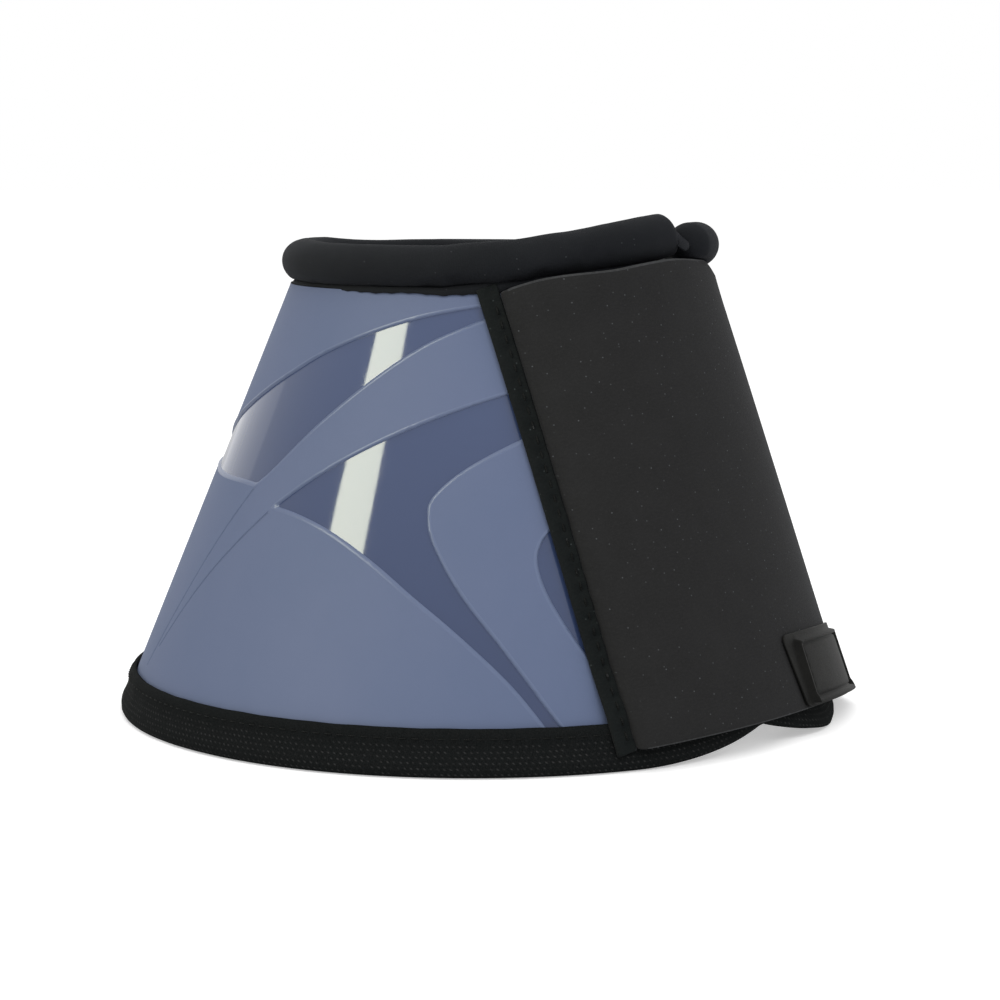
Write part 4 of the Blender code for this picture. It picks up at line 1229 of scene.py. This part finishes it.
class BOOT_OT_collar(bpy.types.Operator):
    """Build the collar: its padded roll, one end sewn flat and one rounded, and the hem of its cover"""

    bl_idname = "boot.collar"
    bl_label = "Collar"

    def execute(self, context):
        settings = context.scene.boot_collar
        knit = knitted_cloth("collar_knit", (0.0082, 0.0091, 0.0110), (0.0136, 0.0148, 0.0175))
        self.roll(settings, knit)
        self.hem(settings, knit)
        return {"FINISHED"}

    def roll(self, settings, knit):
        sides = settings.sides
        turns = np.arange(sides) * 2 * math.pi / sides
        radius = ROLL_RADIUS - 0.0001
        round_end_back, sewn_end_rings = math.radians(7.5), np.radians((0.25, 0.40))
        first = GAP_AZIMUTH_TOP + round_end_back
        last = GAP_AZIMUTH_TOP + 2 * math.pi
        azimuths = np.linspace(first, last, settings.stations)
        azimuths = np.append(azimuths, last + sewn_end_rings)
        run = np.minimum(np.arange(len(azimuths)), np.arange(len(azimuths))[::-1])
        still, free = 4, 34
        swell = eased(run, still, free)
        stations, lengths = [], []
        cap, cap_reach, cap_tip, flat_run = 7, 0.8, 0.03, 0.0050
        for i in range(cap, 0, -1):
            angle = i / cap * math.pi / 2
            shrunk = radius * max(math.cos(angle), cap_tip)
            stations.append(self.ring(azimuths[0], turns, shrunk, -radius * cap_reach * math.sin(angle)))
            lengths.append(-radius * math.sin(angle))
        for azimuth, share in zip(azimuths, swell):
            from_end = (last - azimuth) * COLLAR_RADIUS
            squeeze = float(eased(from_end, flat_run, 0.0004)) ** 1.6
            wider = 1.0 + 0.025 * float(side_share(azimuth)) + 0.060 * (1 - share)
            stations.append(self.ring(azimuth, turns, radius * wider, 0.0, squeeze))
            lengths.append((azimuth - first) * COLLAR_RADIUS)
        piece = swept_piece("collar_roll", stations, lengths, knit)
        seat = [j for j, turn in enumerate(turns) if math.sin(turn) < -0.90]
        rings = len(stations)
        ends = [*range(cap + 3), *range(rings - 9, rings)]
        held = [i * sides + j for i in range(rings) for j in seat]
        held += [i * sides + j for i in ends for j in range(sides)]
        shares = np.concatenate([np.zeros(cap), swell])
        swollen(piece, held, np.repeat(settings.swell_cap * shares, sides))
        smoother = piece.modifiers.new("smooth", "SUBSURF")
        smoother.levels = smoother.render_levels = 1
        end_nodes = ("collar_end_loop_side", "collar_end_flap_side")
        carry(piece, "boot", "collar_cloth", "collar_cover", "collar_core", *end_nodes)

    def ring(self, azimuth, turns, radius, ahead_by, squeeze=0.0):
        """One ring, moved along the roll by a length, and squeezed to a slanted seam at the sewn end."""
        centre, outward, up, ahead = roll_frame(azimuth)
        across, rise = radius * np.cos(turns), radius * np.sin(turns)
        lean, thinness, seam_out, seam_up = math.radians(27), 0.22, 0.0013, 0.0005
        along_seam = -math.sin(lean) * across + math.cos(lean) * rise
        off_seam = math.cos(lean) * across + math.sin(lean) * rise
        flat_across = seam_out - math.sin(lean) * along_seam + math.cos(lean) * off_seam * thinness
        flat_rise = seam_up + math.cos(lean) * along_seam + math.sin(lean) * off_seam * thinness
        across = across + squeeze * (flat_across - across)
        rise = rise + squeeze * (flat_rise - rise)
        points = centre + across[:, None] * outward + rise[:, None] * up + ahead_by * ahead
        return self.clear_of_flap(points, azimuth)

    def clear_of_flap(self, points, azimuth):
        """Lifts what would stand in the flap's top edge on to that edge."""
        top = float(flap_top_height(azimuth)) + 0.0004
        middle = BOX_CENTRING - TOP_LEAN * top / CONE_HEIGHT
        away = np.hypot(points[:, 0], points[:, 1] - middle) - (RIM_RADIUS - SLOPE * top)
        share = eased(away, 0.0004, 0.0016) * min(1.0, 3 * float(loop_end_share(azimuth)))
        points[:, 2] += share * np.clip(top - points[:, 2], 0, None)
        return points

    def hem(self, settings, knit):
        profile = np.array([
            (10, -40), (45, -35), (50, 30), (20, 100), (-150, 60),
            (-300, 30), (-450, 50), (-580, 80), (-620, 40), (-620, -100),
            (-570, -100), (-560, 8), (-280, 8), (8, 8),
        ]) / 1e5
        first = end_azimuth(WALL_TOP, 1, END_TAPE_WIDTH + CLEARANCE)
        last = end_azimuth(WALL_TOP, -1, END_TAPE_WIDTH + CLEARANCE) + 2 * math.pi
        lengths = np.linspace(0, (last - first) * TOP_RADIUS, 640)
        tuck, dip = 0.0009, 0.0009
        low_from, low_to, dip_place, dip_width = np.radians((268, 238, 293, 11))
        stations = []
        for length in lengths:
            azimuth = first + length / TOP_RADIUS
            phase = length / settings.scallop_pitch % 1
            turn = azimuth % (2 * math.pi)
            low_share = 1 - 0.9 * float(eased(turn, low_from, low_to))
            beside_flap = dip * float(bell(turn, dip_place, dip_width))
            depth = settings.scallop * (0.65 + 0.35 * math.sin(length / 0.0137))
            drawn = depth * low_share * float(bell(phase, 0.5, 0.20))
            wander = 0.00008 * math.sin(length / 0.0061) + 0.00006 * math.sin(length / 0.0023)
            fold = profile[:, 1].copy()
            fold[:2] = fold[:2] * low_share + wander - drawn - beside_flap
            up = WALL_TOP + float(collar_rise(azimuth)) + fold
            tucked = profile[:, 0] - (1 - low_share) * tuck * (profile[:, 0] > 0.00009)
            stations.append(cone_points(np.full(len(profile), azimuth), up, tucked))
        piece = swept_piece("collar_hem", stations, lengths, knit)
        carry(piece, "boot", "collar_cloth")


def step_over_tape(flat):
    """Share of the rim tape's thickness that cloth laid on the wall is raised by."""
    azimuth, height = cone_places(flat, CLOSURE)
    return eased(height - rim_lift(azimuth), STEP_TOP, STEP_FOOT)


def flap_base(flat):
    """Level of the flap's inner face: sewn down at its left edge, standing off over the closure."""
    puff = ramp(from_seam(flat), 0, FLAP_PUFF_WIDTH) ** 0.7
    bulge = eased(flat[:, 1], FLAP_TOP - FLAP_BULGE_HEIGHT, FLAP_TOP)
    stand_off = CLEARANCE + (FLAP_LIFT - CLEARANCE) * np.maximum(puff, step_over_tape(flat))
    to_right = eased(flat[:, 0], -0.0100, 0.0220)
    return stand_off + FLAP_BULGE * bulge * puff * (1 - 0.8 * to_right) + FLAP_RIGHT_LIFT * to_right


def flap_outline(margin=0.0, left_margin=0.0):
    """The flap's cut: slightly narrower at the top, with curved top and bottom edges."""
    bottom, top = FLAP_BOTTOM + margin, FLAP_TOP - margin
    low, high = float(half_width(bottom)) - margin, float(half_width(top)) - margin
    corners = [(left_margin - low, bottom), (low, bottom), (high, top), (left_margin - high, top)]
    outline = divided(rounded(corners, (SEWN_CORNER, FLAP_CORNER, FREE_CORNER, SEWN_CORNER)), 0.0020)
    up = ramp(outline[:, 1], bottom, top)
    outline[:, 1] += top_cut(outline[:, 0]) * up + bottom_cut(outline[:, 0]) * (1 - up)
    return outline


def cloth_wave(flat):
    """Soft waves of hanging cloth from 0 to 1."""
    x, y = flat[:, 0], flat[:, 1]
    first = np.sin(x / 0.0085 + 0.8 * np.sin(y / 0.021))
    second = np.sin(y / 0.0125 + x / 0.031 + 1.1)
    third = np.sin((x + y) / 0.0065 + 2.0)
    return np.clip(0.5 + 0.22 * first + 0.18 * second + 0.10 * third, 0, 1)


class BOOT_OT_flap(bpy.types.Operator):
    """Build the closure flap's cloth, its backing and its hook panel"""

    bl_idname = "boot.flap"
    bl_label = "Closure flap"

    def execute(self, context):
        settings = context.scene.boot_cloth
        fold = settings.fold_radius

        def backing_levels(flat):
            base = flap_base(flat)
            return base, base + FLAP_BACKING_THICKNESS

        def cloth_levels(flat):
            base = flap_base(flat)
            from_edge = from_seam(flat)
            curl = round_off(np.maximum(from_edge, 0), fold)
            inner = base + 0.0001 + (FLAP_BACKING_THICKNESS + 0.0002) * eased(from_edge, 0.0002, 0.0030)
            wave = settings.wave_height * cloth_wave(flat) * ramp(from_edge, 0.0, 0.008)
            up = flat[:, 1]
            along_seam = 2 * math.pi * up / settings.stitch_pitch + 0.9 * np.sin(up / 0.0057)
            pucker = 0.00013 * np.sin(along_seam) * bell(from_edge, 0.0026, 0.0030)
            outer = base + FLAP_BACKING_THICKNESS + CLEARANCE + FLAP_THICKNESS
            outer = outer - curl * 0.85 + wave + pucker
            return inner, np.maximum(outer, inner + 0.0004)

        cut_line = flap_outline()
        edge_rounding = 0.0004

        def cloth_kinds(flat):
            cut_face = (distance(flat, cut_line) < edge_rounding) & (from_seam(flat) > 0.0020)
            return np.where(cut_face, EDGE, FRONT)

        shaded = (0.010, 0.010, 0.011), (0.018, 0.018, 0.019), (0.05, 0.05, 0.06)
        cloth = [
            brushed_cloth(
                "flap_nap", (0.0152, 0.0152, 0.0155), (0.022, 0.022, 0.0225), (0.078, 0.083, 0.088)
            ),
            brushed_cloth("flap_nap_inner", *shaded),
            brushed_cloth("flap_nap_fold", *shaded),
            brushed_cloth(
                "flap_cut_edge", (0.030, 0.031, 0.032), (0.070, 0.072, 0.075), (0.14, 0.15, 0.16)
            ),
        ]
        cloth_sheet(
            "flap_cloth", "flap", "brushed_cloth", "closure_flap", "laid", "flap_backing",
            cut_line, cloth_levels, cloth, settings.spacing, rounding=edge_rounding, kinds=cloth_kinds,
        )

        knit = knitted_cloth("backing_knit", (0.011, 0.011, 0.012), (0.024, 0.024, 0.026))
        cloth_sheet(
            "flap_backing", "flap", "neoprene_lining", "flap_lining", "laid", "flap_cloth",
            flap_outline(0.0012, 0.0024), backing_levels, [knit], settings.spacing * 1.3,
            rounding=0.0003,
        )
        self.hook_panel(settings)
        return {"FINISHED"}

    def hook_panel(self, settings):
        inner_edge, margin = 0.0060, 0.0080
        low = float(half_width(FLAP_BOTTOM)) - SHELL_TUCK - margin / 2
        reach = APEX_REACH - (TAPE_OUTER_HEIGHT + margin / 2) / math.cos(BETA)
        bottom = APEX_REACH - math.sqrt(reach**2 - low**2)
        top = FLAP_TOP - FLAP_TOP_DIP - 2 * margin
        high = float(half_width(top)) - SHELL_TUCK - margin / 2
        outline = rounded([(inner_edge, bottom), (low, bottom), (high, top), (inner_edge, top)], 0.0040)

        def levels(flat):
            base = flap_base(flat) - 0.0002
            return np.maximum(base - 0.0009, CLEARANCE), base

        hooks = hook_surface("hook_rows", (0.010, 0.010, 0.010), (0.045, 0.045, 0.047))
        cloth_sheet(
            "hook_sheet", "flap", "hook_tape", "flap_hook_panel", "laid", "flap_backing",
            outline, levels, [hooks], settings.spacing, rounding=0.0002,
        )


class BOOT_OT_badge(bpy.types.Operator):
    """Build the bare rubber badge with its raised frame"""

    bl_idname = "boot.badge"
    bl_label = "Badge"

    def execute(self, context):
        settings = context.scene.boot_badge
        left, lean, low, tilt, pivot = -0.0087, 0.0030, FLAP_BOTTOM - 0.0027, -0.045, 0.020
        right, high = left + settings.width, low + settings.height

        def slanted(margin, flange, corner):
            foot, head, start, end = low + margin, high - 1.8 * margin, left + flange, right - flange
            shift = 0.0004 if flange else lean
            corners = [(start + shift, foot), (end + lean, foot), (end, head), (start, head)]
            outline = divided(rounded(corners, corner), 0.0010)
            outline[:, 1] += tilt * (outline[:, 0] - pivot)
            return anticlockwise(outline)

        block = slanted(0.0008, settings.flange_width, 0.0008)

        def levels(flat):
            base = flap_base(flat) + FLAP_BACKING_THICKNESS + FLAP_THICKNESS + 2 * CLEARANCE
            up = flat[:, 1] - tilt * (flat[:, 0] - pivot) - low
            lean_out = 0.0003 * ramp(up, settings.height, 0)
            depth = np.where(inside(flat, block), distance(flat, block), 0)
            frame_share = eased(depth, 0.0, 0.0003) * (1 - eased(depth, 0.0009, 0.0012))
            lip = settings.border_height + 0.0005 * eased(up, 0.0036, 0.0020)
            groove = 0.0005 * bell(depth, 0.0015, 0.0003)
            plate = 0.0005 + 0.0007 * eased(depth, 0.0, 0.0003)
            return base, base + lean_out + plate + lip * frame_share - groove

        steps = (0.0003, 0.0009, 0.0012, 0.0015, 0.0019)
        rubber = moulded_rubber("badge_rubber", (0.0042, 0.0042, 0.0037), (0.0078, 0.0078, 0.0069), 0.58)
        piece, _, _ = sheet_piece(
            "badge_moulding", slanted(0.0, 0.0, 0.0022), levels, [rubber], 0.0014,
            loops=[block, *(inset(block, step) for step in steps)], rounding=0.00018,
        )
        carry(piece, "flap", "badge_rubber", "badge")
        return {"FINISHED"}


def strip_levels(flat):
    """Levels of the seam strip: a raised border, then a stitched valley beside the flap's fold."""
    base = CLEARANCE + (FLAP_LIFT - CLEARANCE) * step_over_tape(flat)
    across, up = from_seam(flat) + STRIP_WIDTH, flat[:, 1]
    channel = bell(across, SEAM_PLACE, 0.0008)
    drawn = 0.5 - 0.5 * np.cos(2 * math.pi * (up - STRIP_BOTTOM) / SEAM_PITCH)
    puckers = 0.00012 * np.sin(up / 0.00105 + 1.7 * np.sin(up / 0.0071)) * eased(across, 0.0002, 0.0016)
    valley = 0.0004 * eased(across, 0.0014, 0.0026)
    return base, base + 0.0011 - valley - 0.0005 * channel * drawn + puckers


def seam_line(places):
    """The seam's stitches run down the strip's valley."""
    heights = np.linspace(STRIP_BOTTOM + 0.001, STRIP_TOP - 0.001, places)
    return np.array([(SEAM_PLACE - STRIP_WIDTH - float(half_width(y)), y) for y in heights])


class BOOT_OT_seam(bpy.types.Operator):
    """Build the strip along which the flap is sewn to the shell"""

    bl_idname = "boot.seam"
    bl_label = "Seam strip"

    def execute(self, context):
        low, high = -float(half_width(STRIP_BOTTOM)), -float(half_width(STRIP_TOP))
        gap = 0.00005
        outline = np.array([
            (low - STRIP_WIDTH, STRIP_BOTTOM), (low - gap, STRIP_BOTTOM),
            (high - gap, STRIP_TOP), (high - STRIP_WIDTH, STRIP_TOP),
        ])
        cloth = brushed_cloth(
            "strip_nap", (0.0042, 0.0056, 0.0058), (0.0086, 0.0108, 0.011), (0.05, 0.06, 0.06)
        )
        cloth_sheet(
            "seam_tape", "boot", "brushed_cloth", "flap_seam_strip", "stretched", "shell_moulding",
            outline, strip_levels, [cloth], 0.0011, lines=[seam_line(110)], rounding=0.0004,
        )
        return {"FINISHED"}


def stitch_runs(places, level, pitch, gap_share, arch):
    """World points of each stitch of a seam that runs along places given as azimuth and height."""
    azimuth, height = places[:, 0], places[:, 1]
    points = cone_points(azimuth, height, level)
    length = np.concatenate([[0], np.cumsum(np.linalg.norm(np.diff(points, axis=0), axis=1))])
    steps, sunk = 8, 0.00022
    runs = []
    for start in np.arange(pitch / 2, length[-1] - pitch, pitch):
        at = np.linspace(start, start + pitch * (1 - gap_share), steps)
        lift = arch * np.sin(np.linspace(0, math.pi, steps)) - sunk
        a = np.interp(at, length, azimuth)
        h = np.interp(at, length, height)
        runs.append(cone_points(a, h, np.interp(at, length, level) + lift))
    return runs


def thread_piece(name, runs, radius, material):
    """One mesh of many short lengths of thread."""
    sides = 8
    girth = 2 * math.pi * radius / sides
    turns = np.arange(sides) * 2 * math.pi / sides
    points, faces, places = [], [], []
    for run in runs:
        along = np.gradient(run, axis=0)
        along /= np.linalg.norm(along, axis=1)[:, None]
        outward = run - np.array([0, BOX_CENTRING, 0])
        outward[:, 2] = 0
        outward -= (outward * along).sum(axis=1)[:, None] * along
        outward /= np.linalg.norm(outward, axis=1)[:, None]
        across = np.cross(along, outward)
        thickness = radius * np.sqrt(np.clip(1 - np.linspace(-1, 1, len(run)) ** 4, 0.05, 1))
        first = len(points)
        for i in range(len(run)):
            ring = np.cos(turns)[:, None] * outward[i] + np.sin(turns)[:, None] * across[i]
            points.extend(run[i] + thickness[i] * ring)
        step = np.linalg.norm(run[-1] - run[0]) / (len(run) - 1)
        for i in range(len(run) - 1):
            for j in range(sides):
                k = (j + 1) % sides
                a, b = first + i * sides + j, first + i * sides + k
                faces.append((a, b, b + sides, a + sides))
                places.extend([
                    (i * step, j * girth), (i * step, (j + 1) * girth),
                    ((i + 1) * step, (j + 1) * girth), ((i + 1) * step, j * girth),
                ])
        for ring, turn in ((0, -1), (len(run) - 1, 1)):
            faces.append(tuple(first + ring * sides + j for j in range(sides))[::turn])
            places.extend((ring * step, j * girth) for j in range(sides))
    return mesh_piece(name, points, faces, places, [material])


class BOOT_OT_stitches(bpy.types.Operator):
    """Build the sewn threads of the seam strip and the rim tape"""

    bl_idname = "boot.stitches"
    bl_label = "Stitches"

    def execute(self, context):
        settings = context.scene.boot_cloth
        black, charcoal = (0.0030, 0.0034, 0.0034), (0.0085, 0.0095, 0.0095)
        # The last tone is the painted highlight of each thread: pale on the seam's thread, close to the
        # thread's own dark on the rim's.
        dark = sewing_thread("thread_black", black, charcoal, (0.16, 0.17, 0.17))
        plain = sewing_thread("thread_rim", black, charcoal, (0.014, 0.015, 0.015))
        middle = seam_line(220)
        azimuth, height = cone_places(middle, CLOSURE)
        level = strip_levels(middle)[1] + 0.00012
        runs = stitch_runs(np.stack([azimuth, height], -1), level, settings.stitch_pitch, 0.38, 0.00030)
        piece = thread_piece("seam_stitches", runs, settings.thread_radius, dark)
        carry(piece, "boot", "brushed_cloth")

        setback, pitch = 0.002, settings.stitch_pitch * 0.8
        first = end_azimuth(RIM_LIFT, 1, setback)
        last = end_azimuth(RIM_LIFT, -1, setback) + 2 * math.pi
        turns = np.linspace(first, last, 700)
        for name, up, level, arch in (
            ("rim_stitches", 0.0088, 0.00165, 0.00018),
            ("rim_stitches_inside", 0.0085, -0.00685, -0.00018),
        ):
            places = np.stack([turns, up + rim_lift(turns)], -1)
            runs = stitch_runs(places, np.full(len(turns), level), pitch, 0.34, arch)
            piece = thread_piece(name, runs, settings.thread_radius * 0.6, plain)
            carry(piece, "boot", "woven_tape")
        return {"FINISHED"}


class BOOT_OT_stage(bpy.types.Operator):
    """Set the pale floor, the soft studio light and the camera"""

    bl_idname = "boot.stage"
    bl_label = "Stage"

    def execute(self, context):
        self.camera(context.scene)
        self.floor()
        self.world(context.scene)
        key = self.light("key_softbox", (-1.10, -0.95, 1.50), (1.3, 1.3), 12.0)
        top = self.light("top_softbox", (-0.15, -0.10, 1.55), (1.4, 1.4), 5.0)
        key.visible_glossy = top.visible_glossy = False
        strip = self.light(
            "strip_softbox", (-0.862, 0.51, 0.78), (0.335, 1.05), 15.5, (-0.075, 0.04, 0.07)
        )
        strip.data.color = (1.0, 1.02, 0.80)
        panel = self.light("back_panel", (0.62, 1.30, 0.25), (1.15, 0.9), 1.0, (-0.05, 0.06, 0.06))
        strip.visible_diffuse = panel.visible_diffuse = False
        context.scene.view_settings.view_transform = "Standard"
        return {"FINISHED"}

    def camera(self, scene):
        data = bpy.data.cameras.new("camera")
        data.lens = 98.883
        data.sensor_width = 36.0
        data.clip_start = 0.01
        camera = bpy.data.objects.new("camera", data)
        right = Vector((0.4526497, -0.8916883, -0.0004379))
        up = Vector((0.1129868, 0.0568686, 0.9919677))
        forward = Vector((0.88450113, 0.44906337, -0.12649052))
        turn = Matrix((right, up, -forward)).transposed().to_4x4()
        camera.matrix_world = Matrix.Translation((-0.613316, -0.316671, 0.139722)) @ turn
        scene.collection.objects.link(camera)
        scene.camera = camera

    def floor(self):
        graph = Graph("floor_paper")
        place = graph.place()
        tone = graph.mix(graph.noise(place, 0.02, 3.0), (0.86, 0.86, 0.86), (0.88, 0.88, 0.88))
        rough = graph.span(graph.noise(place, 0.003), 0.3, 0.7, 0.9, 1.0)
        material = graph.finish(tone, rough, None, Specular_IOR_Level=0.0)
        path = graph.node("ShaderNodeLightPath", {}, "Is Camera Ray")
        glow = graph.times(path, 0.42)
        graph.tree.links.new(glow, graph.shader.inputs["Emission Strength"])
        graph.shader.inputs["Emission Color"].default_value = colour(1, 1, 1)
        count, radius, level = 96, 9, -0.0001
        points = [(0.0, 0.0, level)]
        faces, places = [], []
        for i in range(count):
            angle = 2 * math.pi * i / count
            points.append((radius * math.cos(angle), radius * math.sin(angle), level))
            faces.append((0, 1 + i, 1 + (i + 1) % count))
        for face in faces:
            places.extend(points[k][:2] for k in face)
        mesh_piece("floor", points, faces, places, [material])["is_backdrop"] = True

    def world(self, scene):
        world = bpy.data.worlds.new("studio")
        scene.world = world
        world.use_nodes = True
        nodes, links = world.node_tree.nodes, world.node_tree.links
        background = nodes["Background"]
        background.inputs["Color"].default_value = colour(1, 1, 1)
        path = nodes.new("ShaderNodeLightPath")
        seen = path.outputs["Is Camera Ray"]
        for kind in ("Is Glossy Ray", "Is Transmission Ray"):
            either = nodes.new("ShaderNodeMath")
            either.operation = "MAXIMUM"
            links.new(seen, either.inputs[0])
            links.new(path.outputs[kind], either.inputs[1])
            seen = either.outputs[0]
        level = nodes.new("ShaderNodeMapRange")
        level.inputs["To Min"].default_value = 0.70
        level.inputs["To Max"].default_value = 1.0
        links.new(seen, level.inputs["Value"])
        links.new(level.outputs["Result"], background.inputs["Strength"])

    def light(self, name, place, size, power, aim=(0, 0, 0.05)):
        data = bpy.data.lights.new(name, "AREA")
        data.shape = "RECTANGLE"
        data.size, data.size_y = size
        data.energy = power
        lamp = bpy.data.objects.new(name, data)
        lamp.location = place
        lamp.rotation_euler = (Vector(aim) - Vector(place)).to_track_quat("-Z", "Y").to_euler()
        lamp.visible_camera = False
        bpy.context.scene.collection.objects.link(lamp)
        return lamp


class BOOT_PT_looks(bpy.types.Panel):
    """Settings of the boot's shown pieces"""

    bl_idname = "BOOT_PT_looks"
    bl_label = "Overreach boot"
    bl_space_type = "VIEW_3D"
    bl_region_type = "UI"
    bl_category = "Boot"

    def draw(self, context):
        for name in ("boot_shell", "boot_cloth", "boot_collar", "boot_badge"):
            settings = getattr(context.scene, name)
            box = self.layout.box()
            for field in settings.bl_rna.properties:
                if not field.is_readonly and field.identifier != "name":
                    box.prop(settings, field.identifier)


CLASSES = (
    BootShellSettings,
    BootClothSettings,
    BootCollarSettings,
    BootBadgeSettings,
    BOOT_OT_outer_shell,
    BOOT_OT_wall_layers,
    BOOT_OT_tapes,
    BOOT_OT_collar,
    BOOT_OT_flap,
    BOOT_OT_badge,
    BOOT_OT_seam,
    BOOT_OT_stitches,
    BOOT_OT_stage,
    BOOT_PT_looks,
)


def register():
    for one in CLASSES:
        bpy.utils.register_class(one)
    bpy.types.Scene.boot_shell = PointerProperty(type=BootShellSettings)
    bpy.types.Scene.boot_cloth = PointerProperty(type=BootClothSettings)
    bpy.types.Scene.boot_collar = PointerProperty(type=BootCollarSettings)
    bpy.types.Scene.boot_badge = PointerProperty(type=BootBadgeSettings)


def unregister():
    for name in ("boot_shell", "boot_cloth", "boot_collar", "boot_badge"):
        delattr(bpy.types.Scene, name)
    for one in reversed(CLASSES):
        bpy.utils.unregister_class(one)


def write_sizes():
    """Puts the frame's box and the shown model's box into plain numbers."""
    boxes = {"frame": CAD_BOX, "shown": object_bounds()}
    plain = {name: [[float(value) for value in corner] for corner in box] for name, box in boxes.items()}


def main():
    register()
    bpy.ops.boot.outer_shell()
    bpy.ops.boot.wall_layers()
    bpy.ops.boot.tapes()
    bpy.ops.boot.collar()
    bpy.ops.boot.flap()
    bpy.ops.boot.badge()
    bpy.ops.boot.seam()
    bpy.ops.boot.stitches()
    bpy.ops.boot.stage()
    write_sizes()


if __name__ == "__main__":
    main()
